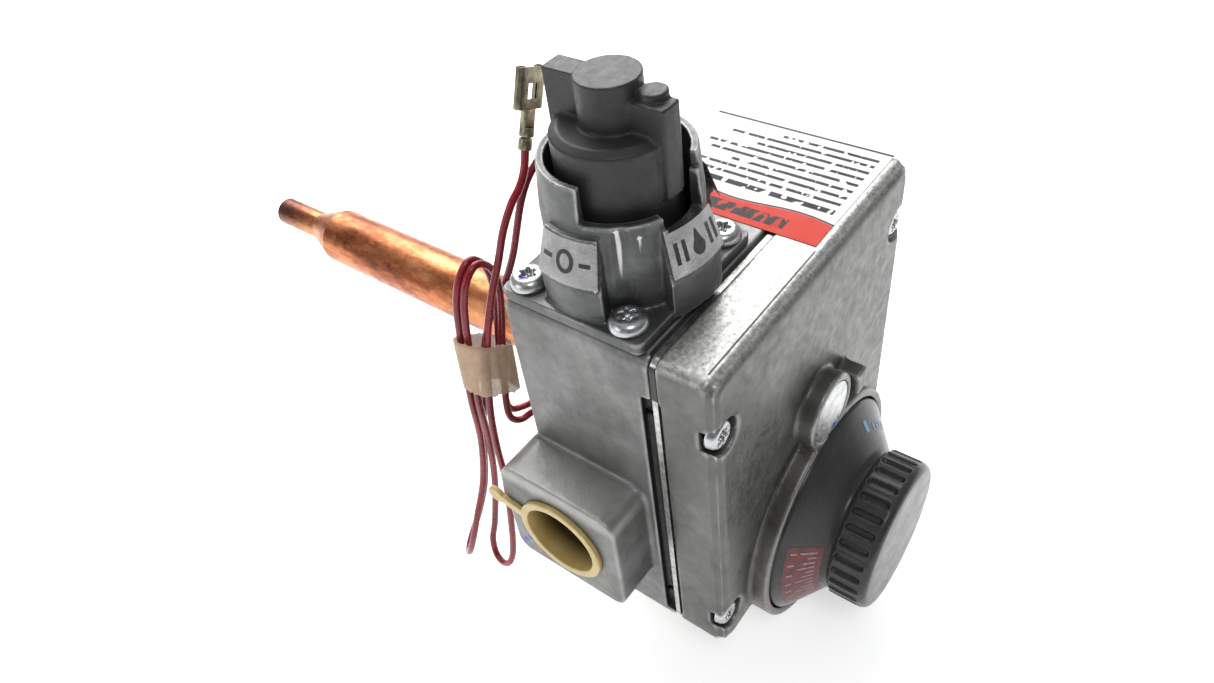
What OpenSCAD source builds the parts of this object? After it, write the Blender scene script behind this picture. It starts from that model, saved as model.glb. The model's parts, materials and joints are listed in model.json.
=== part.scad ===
// Combination gas valve for a storage water heater.
// Origin: centre of the tank shank's shoulder. +Y runs into the tank, +Z is up, +X is right seen from the dial.

/* [Casting] */
// Width of the body and cover
body_w = 80.5; // [76:0.5:100]
// Height of the casting above the inlet's centre line
body_up = 56.5; // [54:0.5:70]
// Depth of the casting below the inlet's centre line
body_down = 32.9; // [31:0.1:45]
// Depth of the back casting, front to back
body_d = 34.2; // [33:0.1:45]
// Depth of the front cover
cover_d = 12.8; // [11:0.1:20]
// Wall of the front cover
cover_wall = 3; // [2:0.1:3.5]
// Corner rounding of body and cover, seen from the front
corner_r = 2.6; // [1:0.1:5]

/* [Seam] */
// Thickness of the steel divider plate
plate_t = 1.2; // [0.8:0.1:2]
// Thickness of the gasket behind the plate
gasket_t = 0.4; // [0.3:0.1:1]
// Width of the relief along the seam
relief_w = 2.2; // [1:0.1:3]
// Depth of the relief along the seam
relief_d = 1.8; // [0.8:0.1:1.8]

/* [Inlet] */
// How far the inlet boss stands out of the left side
inlet_out = 11.7; // [8:0.1:16]
// Depth of the inlet boss, front to back
inlet_d = 32; // [28:0.5:36]
// How far the inlet boss stands behind the back face
inlet_back = 2; // [0:0.5:3]
// Height of the inlet boss
inlet_h = 31.4; // [28:0.2:36]
// Radius of the inlet thread
inlet_r = 10.3; // [9:0.1:10.8]
// Depth of the inlet thread
inlet_depth = 17; // [14:0.5:19]
// Radius of the shipping plug's flange
plug_flange_r = 11.3; // [11.2:0.1:12.5]
// Wall of the shipping plug
plug_wall = 0.9; // [0.8:0.1:2]
// Length of the shipping plug inside the thread
plug_depth = 12; // [8:0.5:13]
// Length of the shipping plug's pull tab
tab_len = 9; // [7:0.5:16]

/* [Gas cock] */
// Distance of the cock's axis left of the origin
cock_x = 20.5; // [19.5:0.1:21.5]
// Distance of the cock's axis in front of the back face
cock_y = 17; // [16.5:0.1:17.5]
// Radius of the cock's bore
cock_r = 9.5; // [8:0.1:10]
// Radius of the knob's stem
stem_r = 3; // [2.4:0.1:3.4]
// Travel of the knob when it is pushed
press = 5; // [3:0.5:6]
// Travel of the safety valve's closing disc
lift = 4; // [2.5:0.5:4.5]

/* [Turret] */
// Width of the turret's foot plate
foot_w = 38.5; // [38:0.1:40]
// Depth of the turret's foot plate
foot_d = 33.3; // [33:0.1:34]
// Thickness of the turret's foot plate
foot_t = 2.4; // [2:0.1:4]
// Outer radius of the turret's wall at the pads
crown_r = 15.4; // [15:0.1:16]
// Outer radius of the turret's wall at its top
crown_top_r = 14.6; // [14.4:0.1:15.4]
// Inner radius of the turret's wall
crown_in = 13.1; // [12.9:0.1:13.3]
// Radius of the turret's flared lobes
lobe_r = 18.9; // [18:0.1:20]
// Height of the turret's high rim above the casting
rim_high = 28; // [26:0.5:34]
// Height of the turret's low rim above the casting
rim_low = 21.2; // [20:0.2:24]
// Height of the turret's notch above the casting
rim_notch = 17; // [15:0.2:19]
// Height of the step beside the notch above the casting
rim_ramp = 25; // [22:0.2:26]

/* [Knob] */
// Radius of the knob's skirt
knob_r = 11.6; // [10.5:0.1:12]
// Length of the knob's skirt
knob_skirt = 21; // [18:0.5:24]
// Radius of the knob's hub
hub_r = 6; // [5:0.1:7]
// Height of the knob's hub above its skirt
hub_h = 8.9; // [7:0.1:12]
// Thickness of the knob's wings
wing_t = 5; // [3.5:0.1:6]
// Reach of the knob's pointer wing
wing_front = 12.8; // [12:0.1:14]
// Reach of the knob's back wing
wing_back = 13.2; // [12:0.1:14]

/* [Dial] */
// Distance of the dial's axis right of the origin
dial_x = 1.5; // [0:0.5:3]
// Distance of the dial's axis below the origin
dial_z = 20.7; // [19:0.1:23]
// Outer radius of the collar round the dial
collar_r = 30.8; // [30:0.1:32]
// Height of the collar
collar_h = 4.6; // [3:0.1:6]
// Wall of the collar
collar_wall = 2; // [1.5:0.1:2.4]
// Radial gap between the dial's skirt and the collar
dial_gap = 0.5; // [0.4:0.1:1]
// Radius of the dial's grip
grip_r = 18.9; // [17:0.1:21]
// Length of the dial's grip
grip_len = 10; // [8:0.5:14]
// Height of the dial's conical skirt
cone_h = 8.2; // [7:0.1:11]
// Number of grooves round the grip
grooves = 30; // [20:1:36]

/* [Regulator] */
// Distance of the regulator's axis left of the origin
reg_x = 0.6; // [0:0.1:1.5]
// Height of the regulator's axis above the origin
reg_z = 15.8; // [15.6:0.1:18]
// Radius of the regulator's boss
reg_r = 9.2; // [9:0.1:10]
// Radius of the regulator's bore
reg_bore = 6.2; // [5.5:0.1:6.4]
// Radius of the regulator's cap
reg_cap_r = 7.3; // [7:0.1:7.4]

/* [Sensor] */
// Radius of the tank thread
shank_r = 13.33; // [13.33:0.01:13.34]
// Length of the tank shank
shank_len = 30; // [24:1:34]
// Radius of the sensor tube
tube_r = 8.7; // [8:0.1:9.5]
// Length of the sensor tube to its tip
tube_len = 153; // [120:1:200]
// Radius of the tube's closed stub
stub_r = 4.5; // [4:0.1:5.5]
// Length of the tube's closed stub
stub_len = 20; // [14:1:26]
// Radius of the nickel-iron rod
rod_r = 2.2; // [1.6:0.1:2.6]

/* [Outlets] */
// Radius of the burner outlet's thread
burner_r = 7.4; // [7:0.1:8]
// Radius of the pilot outlet's thread
pilot_r = 5.1; // [4.5:0.1:5.2]
// Radius of the thermocouple's thread
couple_r = 4.2; // [4:0.1:4.4]
// How far the outlet bosses stand below the casting
outlet_out = 4; // [3:0.5:8]

/* [Fasteners] */
// Radius of the cover screws' heads
screw_head_r = 3.4; // [3:0.1:3.6]
// Radius of the screws' shanks
screw_r = 1.6; // [1.4:0.1:1.8]
// Radius of the turret screws' heads
pan_r = 3.9; // [3.4:0.1:4.1]

/* [Leads] */
// Outer radius of a red lead
lead_r = 0.85; // [0.7:0.05:1.2]

/* [Hidden] */

$fn = 64;
eps = 0.01;
fit = 0.06;      // radial clearance of a turning or sliding fit
loose = 0.1;     // radial gap round a fixed piece
air = 0.3;       // gap between pieces that pass each other

casting = "#8f9290";
cover_grey = "#a7a5a0";
black = "#2c2c2d";
steel = "#b9bcbd";
brass = "#c0a050";
copper = "#b5643c";
rubber = "#3a3a38";
red = "#b0242a";

half_w = body_w / 2;
seam_y = -body_d;                         // front face of the back casting
plate_back = seam_y - gasket_t;
plate_front = plate_back - plate_t;
face_y = plate_front - cover_d;           // front face of the cover
cover_in = face_y + cover_wall;           // inside of the cover's front
body_z0 = -body_down;
foot_z = body_up + gasket_t;              // underside of the turret's foot
foot_top = foot_z + foot_t;

cx = -cock_x;
cy = -cock_y;
dx = dial_x;
dz = -dial_z;
rx = -reg_x;
rz = reg_z;
left_x = -half_w;
inlet_x = left_x - inlet_out;             // face of the inlet boss
inlet_y = inlet_back - inlet_d / 2;
slot_top = 10.5;                          // top of the side relief, below the top of the casting
tab_t = 1.2;                              // thickness of the shipping plug's flange and tab
tab_turn = 12;                            // turn of the tab up from straight back

cover_screw_x = half_w - 3.6;
cover_screw_top = body_up - 15.5;
cover_screw_low = body_z0 + 10.1;
cover_screw_at = [
    [-cover_screw_x, cover_screw_top], [cover_screw_x, cover_screw_top],
    [-cover_screw_x, cover_screw_low], [cover_screw_x, cover_screw_low]
];
cover_screw_len = cover_d - 6 + plate_t + gasket_t + 9;
counterbore = 6;

foot_x0 = left_x;
foot_x1 = foot_x0 + foot_w;
foot_y0 = -foot_d;
foot_screw_in = 4.2;
foot_screw_at = [
    [foot_x0 + foot_screw_in, -foot_screw_in], [foot_x0 + foot_screw_in, foot_y0 + foot_screw_in + 1],
    [foot_x1 - foot_screw_in, foot_y0 + foot_screw_in], [foot_x1 - foot_screw_in, -foot_screw_in]
];
foot_screw_len = 9;

// The pilot outlet and the pressure tap
pilot_x = -3;
pilot_y = -26;
tap_x = 30;
tap_y = -10;
tap_r = 3;
burner_step = body_z0 + 2.5;              // inner end of the burner outlet's thread
seat_step = 0.8;                          // ledge that the burner outlet's seat is pressed above

// The chamber behind the cover, and the mechanism in it
room_x0 = -6;
room_x1 = half_w - 8;
room_back = -7;
room_z0 = body_z0 + 6.9;
room_z1 = body_up - 12;
pivot_y = -11;
pivot_z = 5;
lever_t = 1.2;
eye_r = 2;
pin_r = 1;
valve_x = 14;
valve_y = -21;
valve_lift = 1.5;
seat_z = room_z0 + 5;                     // top of the main valve's seat
seat_r = 7;
disc_t = 1.6;
head_gap = 0.8;

// The safety valve under the gas cock
chamber_r = 9.5;
chamber_z0 = room_z0;
socket_hex = 6;                           // length of the thermocouple socket's hexagon, and its bore
web_z0 = 19;                              // the safety valve's seat
web_z1 = 22;
seal_t = 1.6;
armature_z = 0.2 - press + lift + 1;      // underside of the armature plate
pole_z = armature_z - lift - 0.2;         // the magnet's pole faces
cock_bottom = web_z1 + 0.4;
cock_top = 46;
pin_slot = 1.1;
stem_bottom = 40;
rod_gap = 1.2;

cup_floor = foot_top + 3.8;               // floor inside the turret
knob_shoulder = body_up + 33.5;           // top of the knob's skirt
knob_bottom = knob_shoulder - knob_skirt;
knob_top = knob_shoulder + hub_h;
knob_wall = 2;
stem_top = knob_top - 3.5;
rib_z = knob_bottom + 9.4;                // lower end of the pointer's rib

// The regulator
diaphragm_t = 0.6;
poppet_r = 1.4;

// The dial
recess_r = collar_r - collar_wall;
skirt_r = recess_r - dial_gap;
collar_front = face_y - collar_h;
dial_back = face_y - 1.6;
skirt_edge = collar_front - 0.2;
cone_end = skirt_edge - cone_h;
grip_front = cone_end - grip_len - 0.4;
dial_stem_r = 3;
bush_r = 6;
dial_stem_end = seam_y + 3;

grommet_x = -28;
grommet_z = 10;
grommet_r = 5;
grommet_out = 3;
lead_pitch = 2;

// Routes of the two red leads
route_a = [
    [-30, 3, 10], [-30, 7, 10], [-31.6, 10, 8.9], [-34.6, 11.6, 8], [-36.8, 12.4, 10.5], [-36.4, 13, 15.5],
    [-34.5, 13.2, 23.7], [-32.7, 13.2, 32.4], [-30.4, 13.2, 41.3], [-29.7, 13.2, 48], [-30.9, 13.3, 52.6],
    [-34, 13.6, 55], [-37.3, 13.8, 52.8], [-39, 14, 49], [-40.1, 14, 45], [-41.2, 14, 38.5], [-42.1, 14.2, 29.9],
    [-42.8, 14.6, 20], [-42.6, 15.6, 5.8], [-43.6, 17, -9.9], [-46.2, 18.8, -25.3], [-48.4, 19.2, -31.5],
    [-49.9, 17.8, -35.6], [-50.5, 15, -37], [-50.3, 12.2, -34.8], [-49, 10.9, -29.5], [-47, 10.6, -18.6],
    [-44.9, 10.6, -4], [-44.2, 10.8, 8.9], [-42.6, 11, 21.4], [-38.7, 11, 37], [-34.9, 10.4, 47.5],
    [-31.3, 9.4, 55.6], [-29, 8.4, 62.2], [-26.1, 7.5, 67.3], [-23.4, 7, 69.9], [-21.2, 7, 72.6], [-19.8, 7, 76.5]
];
route_b = [
    [-26, 3, 10], [-26, 7, 10], [-27.4, 11, 9], [-30.4, 14, 7.6], [-33.6, 15.2, 8.8], [-34.6, 15.2, 13],
    [-33.3, 15.2, 21.5], [-32, 15.2, 30.9], [-30, 15.2, 40.7], [-29.7, 15.2, 48], [-31, 15.2, 52.9],
    [-34, 15.5, 55.4], [-37.4, 15.8, 52.9], [-39.2, 16, 49], [-40.3, 16, 45], [-41.5, 16, 37.9], [-42.5, 16.2, 29.2],
    [-43.3, 16.6, 19.3], [-43.3, 17.8, 5.2], [-45.5, 19.2, -9.2], [-49.9, 20.2, -19.8], [-53, 21, -27.4],
    [-54, 22.8, -33.2], [-53.2, 25.4, -36.8], [-50.8, 27.6, -37.8], [-48, 27.8, -34.6], [-45.2, 26.6, -29],
    [-41.5, 24.6, -17.6], [-39.7, 22, -1.2], [-38.9, 18.8, 12.8], [-37, 17.7, 21.5], [-34.6, 17.5, 29.9],
    [-30.4, 17.3, 37.1], [-25.6, 16.2, 42.4], [-23.2, 13.8, 50.1], [-22.1, 11.8, 57.4], [-20.5, 10.6, 63.5],
    [-17.9, 9.8, 68.1], [-14, 9.3, 70.9], [-9, 8.8, 73.1]
];
crimp_a = route_a[len(route_a) - 1];
crimp_b = route_b[len(route_b) - 1];
tilt_a = 22;                              // lean of each terminal to the right
tilt_b = 62;
tape_at = [-37.4, 14.5, 28];
tape_half = [6.8, 4.6];
tape_wall = 0.3;
tape_wide = 15;
tape_lean = 5;
tape_cut = 31;                            // slant of the tape's two edges

function unit(v) = v / norm(v);
function tangent(p, i) = unit(p[min(i + 1, len(p) - 1)] - p[max(i - 1, 0)]);
function curve_at(a, b, c, d, t) =
    0.5 * (2 * b + (c - a) * t + (2 * a - 5 * b + 4 * c - d) * t * t + (3 * b - a - 3 * c + d) * t * t * t);
function smooth(p, n) = [
    for (i = [0 : len(p) - 2]) for (j = [0 : n - 1])
        curve_at(p[max(i - 1, 0)], p[i], p[i + 1], p[min(i + 2, len(p) - 1)], j / n),
    p[len(p) - 1]
];
function carried(n, t) = unit(n - (n * t) * t);
function frames(p, i = 0, n = [0.3, 0.1, 0.95]) =
    i >= len(p) ? [] : let(m = carried(n, tangent(p, i))) concat([m], frames(p, i + 1, m));

// A tube of radius r along the points p
module swept(p, r, sides = 8) {
    n = frames(p);
    rings = [
        for (i = [0 : len(p) - 1]) let(t = tangent(p, i), b = cross(t, n[i]))
            for (k = [0 : sides - 1]) p[i] + r * (cos(360 * k / sides) * n[i] + sin(360 * k / sides) * b)
    ];
    last = (len(p) - 1) * sides;
    polyhedron(rings, concat(
        [[for (k = [0 : sides - 1]) sides - 1 - k]],
        [for (i = [0 : len(p) - 2]) for (k = [0 : sides - 1])
            [i * sides + k, i * sides + (k + 1) % sides, (i + 1) * sides + (k + 1) % sides, (i + 1) * sides + k]],
        [[for (k = [0 : sides - 1]) last + k]]
    ));
}

// A coil spring of mean radius r and wire radius w, from z = 0 up to z = h
module coil(r, w, h, turns, steps = 12) {
    n = turns * steps;
    swept([for (i = [0 : n]) [r * cos(360 * i / steps), r * sin(360 * i / steps), w + (h - 2 * w) * i / n]], w, 6);
}

// Rod of radius r along Y, from y0 to y1
module rod_y(x, z, r, y0, y1) {
    translate([x, y0, z]) rotate([-90, 0, 0]) cylinder(r = r, h = y1 - y0);
}

// Rod of radius r along X, from x0 to x1
module rod_x(y, z, r, x0, x1) {
    translate([x0, y, z]) rotate([0, 90, 0]) cylinder(r = r, h = x1 - x0);
}

// Rod of radius r along Z, from z0 to z1
module rod_z(x, y, r, z0, z1) {
    translate([x, y, z0]) cylinder(r = r, h = z1 - z0);
}

module box(a, b) {
    translate(a) cube(b - a);
}

module round_rect(a, b, r) {
    translate([a[0] + r, a[1]]) square([b[0] - a[0] - 2 * r, b[1] - a[1]]);
    translate([a[0], a[1] + r]) square([b[0] - a[0], b[1] - a[1] - 2 * r]);
    for (x = [a[0] + r, b[0] - r]) for (y = [a[1] + r, b[1] - r]) translate([x, y]) circle(r);
}

// Slab with rounded corners in the X-Z outline, from y0 to y1
module slab_y(a, b, r, y0, y1) {
    translate([0, y1, 0]) rotate([90, 0, 0]) linear_extrude(y1 - y0) round_rect(a, b, r);
}

module cross_recess(r, d) {
    for (a = [0, 90]) rotate([0, 0, a]) translate([-r, -0.45, -d]) cube([2 * r, 0.9, d + 1]);
}

module valve_body() {
    color(casting) difference() {
        union() {
            slab_y([-half_w, body_z0], [half_w, body_up], corner_r, seam_y, 0);
            rod_z(valve_x, valve_y, burner_r + 3, body_z0 - outlet_out, body_z0 + 2);
            rod_z(cx, cy, couple_r + 5, body_z0 - outlet_out / 2, body_z0 + 2);
        }
        // mechanism chamber, open to the front
        box([room_x0, seam_y - 1, room_z0], [room_x1, room_back, room_z1]);
        // relief along the seam on top and down the left side
        box([foot_x0 + 2, seam_y - 1, body_up - relief_d], [half_w - 2, seam_y + 0.7, body_up + 1]);
        box([left_x - 1, seam_y - 1, body_z0 + 3], [left_x + relief_d, seam_y + relief_w, body_up - slot_top]);
        // inlet
        rod_x(inlet_y, 0, inlet_r, left_x - 1, inlet_x + inlet_depth);
        rod_x(inlet_y, 0, 6.5, inlet_x + inlet_depth - 1, cx);
        // gas cock and safety valve
        rod_z(cx, cy, cock_r, web_z1, body_up + 1);
        rod_z(cx, cy, 5, web_z0 - 1, web_z1 + 1);
        rod_z(cx, cy, chamber_r, chamber_z0, web_z0);
        rod_z(cx, cy, 6.5, body_z0 - outlet_out, chamber_z0 + 1);
        rod_x(cy, 34, 3.5, cx, room_x0 + 1);
        // outlets
        rod_z(valve_x, valve_y, burner_r, body_z0 - outlet_out - 1, burner_step);
        rod_z(valve_x, valve_y, burner_r - seat_step, burner_step - 1, burner_step + 2);
        rod_z(valve_x, valve_y, 5.5, body_z0 + 4, room_z0 + 1);
        rod_z(pilot_x, pilot_y, 6, body_z0 - 1, body_z0 + 5.5);
        rod_z(pilot_x, pilot_y, 1, body_z0, room_z0 + 1);
        rod_z(tap_x, tap_y, tap_r, body_z0 - 1, body_z0 + 5);
        // tank shank, leads and screws
        rod_y(0, 0, 8, room_back - 1, 1);
        rod_y(grommet_x, grommet_z, grommet_r - 1 + loose, -3, 1);
        for (p = cover_screw_at) rod_y(p[0], p[1], screw_r + loose, seam_y - 1, seam_y + 10);
        for (p = foot_screw_at) rod_z(p[0], p[1], screw_r + loose, body_up - foot_screw_len + 2, body_up + 1);
    }
}

// Cast in one with the body; the body's left face is its root
module inlet_boss() {
    color(casting) difference() {
        translate([inlet_x, 0, 0]) rotate([90, 0, 90]) linear_extrude(inlet_out)
            round_rect([inlet_back - inlet_d, -inlet_h / 2], [inlet_back, inlet_h / 2], 4);
        rod_x(inlet_y, 0, inlet_r, inlet_x - 1, left_x + 1);
    }
}

module cover_outline(y0, y1, inset = 0) {
    slab_y([-half_w + inset, body_z0 + inset], [half_w - inset, body_up - inset], corner_r, y0, y1);
}

module front_cover() {
    color(cover_grey) difference() {
        union() {
            difference() {
                union() {
                    cover_outline(face_y + 2, plate_front);
                    cover_outline(face_y + 0.7, face_y + 2 + eps, 0.7);
                    cover_outline(face_y, face_y + 0.7 + eps, 1.7);
                }
                slab_y([-half_w + cover_wall, body_z0 + cover_wall], [half_w - cover_wall, body_up - cover_wall],
                    corner_r, cover_in, plate_front + 1);
            }
            rod_y(dx, dz, collar_r, collar_front, cover_in);
            rod_y(rx, rz, reg_r, collar_front, plate_front - diaphragm_t);
            for (p = cover_screw_at) intersection() {
                rod_y(p[0], p[1], screw_head_r + 2.4, cover_in - 1, plate_front);
                cover_outline(face_y, plate_front);
            }
            translate([rx + reg_r + 1.2, collar_front - 1, rz - 4]) cube([4.6, collar_h + 1.5, 6]);
        }
        rod_y(dx, dz, recess_r, collar_front - 2, face_y);
        rod_y(dx, dz, bush_r + loose, face_y - 1, cover_in + 1);
        rod_y(rx, rz, reg_cap_r + loose, collar_front - 2, collar_front + 1.2);
        rod_y(rx, rz, reg_bore, collar_front, plate_front);
        for (p = cover_screw_at) {
            rod_y(p[0], p[1], screw_head_r + 0.8, face_y - 1, face_y + counterbore - 2);
            rod_y(p[0], p[1], screw_r + loose, face_y, plate_front + 1);
        }
        box([left_x - 1, plate_front - 0.6, body_z0 + 3], [left_x + relief_d, plate_front + 1, body_up - slot_top]);
    }
}

module seam_holes(y0, y1) {
    rod_y(dx, dz, bush_r + 1, y0, y1);
    rod_y(rx, rz, 2.2, y0, y1);
    for (p = cover_screw_at) rod_y(p[0], p[1], screw_r + loose, y0, y1);
}

module divider_plate() {
    color(steel) difference() {
        cover_outline(plate_front, plate_back, 0.4);
        seam_holes(plate_front - 1, plate_back + 1);
        for (x = [14, 26]) rod_y(x, 24, 4, plate_front - 1, plate_back + 1);
    }
}

module cover_gasket() {
    color("#6f6a5c") difference() {
        cover_outline(plate_back, seam_y, 0.8);
        seam_holes(plate_back - 1, seam_y + 1);
        box([room_x0, plate_back - 1, room_z0], [room_x1, seam_y + 1, room_z1]);
    }
}

module cover_screws() {
    color(steel) for (p = cover_screw_at) {
        difference() {
            union() {
                rod_y(p[0], p[1], screw_head_r, face_y + counterbore - 4.6, face_y + counterbore - 2);
                rod_y(p[0], p[1], screw_r, face_y + counterbore - 2 - eps, face_y + counterbore - 2 + cover_screw_len);
            }
            translate([p[0], face_y + counterbore - 4.6, p[1]]) rotate([90, 0, 0]) cross_recess(1.9, 1.4);
        }
    }
}

// Sector of the turret: its outline is given as [radius, height] points
module sector(a0, a1, outline) {
    translate([cx, cy, 0]) rotate([0, 0, a0]) rotate_extrude(angle = a1 - a0) polygon(outline);
}

pad_out = 0.6;                            // how far a pad stands out of its lobe
wall_outline = [
    [0, foot_z + 1], [crown_r, foot_z + 1], [crown_r, body_up + 19], [crown_top_r, body_up + rim_high],
    [0, body_up + rim_high]
];
lobe_outline = [
    [crown_in - 1, foot_z + 1], [lobe_r, foot_z + 1], [lobe_r, body_up + 9.5], [crown_r - 0.5, body_up + 19.2],
    [crown_in - 1, body_up + 19.2]
];
pad_outline = [
    [crown_in - 1, body_up + 10.6], [lobe_r + pad_out, body_up + 10.6], [crown_r + pad_out + 0.6, body_up + 19.4],
    [crown_in - 1, body_up + 19.4]
];
pad_half = 20.5;
pad_at = [181, 263, 345];

// Cut down to a lower rim between two angles
module rim_cut(a0, a1, top, slope) {
    sector(a0, a1, [[crown_in - 2, body_up + top], [lobe_r + 2, body_up + top + slope],
        [lobe_r + 2, body_up + rim_high + 4], [crown_in - 2, body_up + rim_high + 4]]);
}

module bonnet() {
    color(casting) difference() {
        union() {
            translate([0, 0, foot_z]) linear_extrude(foot_t)
                round_rect([foot_x0, foot_y0], [foot_x1, 0], 1.6);
            translate([cx, cy, 0]) rotate_extrude() polygon(wall_outline);
            for (a = pad_at) {
                sector(a - pad_half - 1, a + pad_half + 1, lobe_outline);
                sector(a - pad_half, a + pad_half, pad_outline);
            }
        }
        rod_z(cx, cy, crown_in, cup_floor, body_up + rim_high + 5);
        rim_cut(188, 247, rim_low, 0);
        rim_cut(246, 286, rim_notch, 1.4);
        rim_cut(285.9, 291, rim_ramp, 0);
        rod_z(cx, cy, stem_r + fit, foot_z - 1, cup_floor + 1);
        rod_z(cx, cy, stem_r + 2 + loose, cup_floor - 2, cup_floor + 1);
        rod_z(cx, cy, 7.6, foot_z - 1, foot_z + 1);
        for (p = foot_screw_at) {
            rod_z(p[0], p[1], screw_r + loose, foot_z - 1, foot_top + 1);
            rod_z(p[0], p[1], pan_r + air, foot_top, body_up + rim_high + 1);
        }
    }
}

module bonnet_gasket() {
    color("#6f6a5c") difference() {
        translate([0, 0, body_up]) linear_extrude(gasket_t)
            round_rect([foot_x0 + 0.5, foot_y0 + 0.5], [foot_x1 - 0.5, -0.5], 1.6);
        rod_z(cx, cy, cock_r, body_up - 1, foot_z + 1);
        for (p = foot_screw_at) rod_z(p[0], p[1], screw_r + loose, body_up - 1, foot_z + 1);
    }
}

module bonnet_screws() {
    color(steel) for (p = foot_screw_at) translate([p[0], p[1], foot_top]) difference() {
        union() {
            intersection() {
                cylinder(r = pan_r, h = 2.6);
                translate([0, 0, -3.2]) sphere(6);
            }
            translate([0, 0, -foot_screw_len + 0.5]) cylinder(r = screw_r, h = foot_screw_len);
        }
        translate([0, 0, 2.6]) cross_recess(2, 1.4);
    }
}

module stem_seal() {
    color(rubber) translate([cx, cy, cup_floor - 2]) rotate_extrude()
        translate([stem_r + fit + 0.1, 0]) square([1.8, 1.8]);
}

module gas_cock_knob() {
    color(black) translate([cx, cy, 0]) difference() {
        union() {
            translate([0, 0, knob_bottom]) cylinder(r = knob_r, h = knob_skirt - 1);
            translate([0, 0, knob_shoulder - 1]) cylinder(r1 = knob_r, r2 = knob_r - 1.6, h = 1);
            translate([0, 0, knob_shoulder - 1]) cylinder(r = hub_r, h = hub_h + 1);
            intersection() {
                union() {
                    translate([-wing_t / 2, 0, knob_shoulder - 5]) cube([wing_t, wing_back, hub_h + 4.4]);
                    translate([-wing_t / 2, -wing_front, rib_z]) cube([wing_t, wing_front, knob_top - 3.2 - rib_z]);
                }
                translate([0, 0, rib_z - 1]) cylinder(r = crown_in - air, h = 40);
            }
            translate([wing_t / 2 - 1.4, -8.4, knob_shoulder]) cylinder(r = 2.6, h = hub_h - 1.8);
        }
        translate([0, 0, knob_bottom - 1]) difference() {
            cylinder(r = knob_r - knob_wall, h = knob_skirt - 3);
            cylinder(r = stem_r + 2, h = knob_skirt);
        }
        translate([0, 0, knob_bottom - 2]) cylinder(r = stem_r + 3, h = 5);
        translate([0, 0, knob_bottom - 1]) cylinder(r = stem_r + 0.05, h = stem_top - knob_bottom + 1);
    }
}

module cock_stem() {
    color(steel) difference() {
        rod_z(cx, cy, stem_r, stem_bottom, stem_top);
        rod_x(cy, cock_top - 2, 0.9 + loose, cx - 5, cx + 5);
    }
}

module drive_pin() {
    color(steel) rod_x(cy, cock_top - 2, 0.9, cx - 7, cx + 7);
}

module reset_rod() {
    color(brass) rod_z(cx, cy, 1.5, web_z0 + rod_gap, stem_bottom);
}

module knob_spring() {
    color(steel) translate([cx, cy, cup_floor]) coil(7.4, 0.5, knob_shoulder - 4 - cup_floor, 6);
}

module gas_cock_plug() {
    color(brass) translate([cx, cy, 0]) difference() {
        translate([0, 0, cock_bottom]) cylinder(r = cock_r - fit, h = cock_top - cock_bottom);
        translate([0, 0, cock_bottom - 1]) cylinder(r = 6, h = 38 - cock_bottom);
        translate([0, 0, cock_bottom]) cylinder(r = stem_r + fit, h = cock_top);
        translate([-7.6, -pin_slot, cock_top - 2 - press - 1.4]) cube([15.2, 2 * pin_slot, press + 6]);
        translate([0, 0, 34]) rotate([90, 0, 0]) cylinder(r = 3.5, h = cock_r + 1);
    }
}

module cock_spring() {
    color(steel) translate([cx, cy, cock_top]) coil(8.2, 0.5, foot_z - cock_top - 0.2, 4);
}

module safety_magnet() {
    color("#9aa0a0") difference() {
        union() {
            rod_z(cx, cy, chamber_r - loose, chamber_z0, chamber_z0 + 2);
            rod_z(cx, cy, 7.2, chamber_z0 + 2 - eps, pole_z - 3);
            for (s = [-1, 1]) box([cx + 2.8 * s - 1.4, cy - 1.6, pole_z - 4], [cx + 2.8 * s + 1.4, cy + 1.6, pole_z]);
        }
        rod_z(cx, cy, 2, chamber_z0 - 1, chamber_z0 + 3);
    }
}

module magnet_spring() {
    color(steel) translate([cx, cy, pole_z - 3])
        coil(6, 0.4, web_z0 - seal_t - 1 - pole_z + 3, 7);
}

module armature() {
    color(steel) {
        rod_z(cx, cy, 4.6, armature_z, armature_z + 1.6);
        rod_z(cx, cy, 1.2, armature_z + 1.6 - eps, web_z0 - seal_t - 1);
        rod_z(cx, cy, 7.2, web_z0 - seal_t - 1 - eps, web_z0 - seal_t);
    }
}

module closing_disc() {
    color(rubber) rod_z(cx, cy, 7.6, web_z0 - seal_t, web_z0);
}

module thermocouple_socket() {
    root = body_z0 - outlet_out / 2;
    color(brass) difference() {
        union() {
            rod_z(cx, cy, 6.5 - loose, root, chamber_z0);
            translate([cx, cy, root - socket_hex]) cylinder(r = 8, h = socket_hex, $fn = 6);
        }
        rod_z(cx, cy, couple_r, root - socket_hex - 1, root);
        rod_z(cx, cy, 1.5, root - 1, chamber_z0 + 1);
    }
}

module thermostat_dial() {
    color(black) difference() {
        translate([dx, 0, dz]) rotate([90, 0, 0]) union() {
            rotate_extrude() polygon([
                [0, -cone_end], [skirt_r - 2, -dial_back], [skirt_r, -dial_back], [skirt_r, -skirt_edge],
                [skirt_r - 2, -skirt_edge + 0.8], [grip_r - 1.6, -cone_end], [grip_r - 1.6, -cone_end + 0.4],
                [grip_r, -cone_end + 0.8], [grip_r, -grip_front - 1.2], [grip_r - 1.2, -grip_front], [0, -grip_front]
            ]);
            translate([0, 0, -cone_end - 2]) rotate([180, 0, 0]) cylinder(r = 5.5, h = -cone_end - 2 + dial_back + 0.6);
        }
        translate([dx, 0, dz]) rotate([90, 0, 0]) translate([0, 0, -dial_back - 1])
            cylinder(r = dial_stem_r + 0.05, h = dial_back - grip_front - 2);
        for (a = [0 : grooves - 1]) translate([dx, 0, dz]) rotate([90, a * 360 / grooves, 0])
            translate([grip_r - 0.9, -0.75, -cone_end + 1.6]) cube([3, 1.5, grip_len - 2.6]);
    }
}

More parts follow.
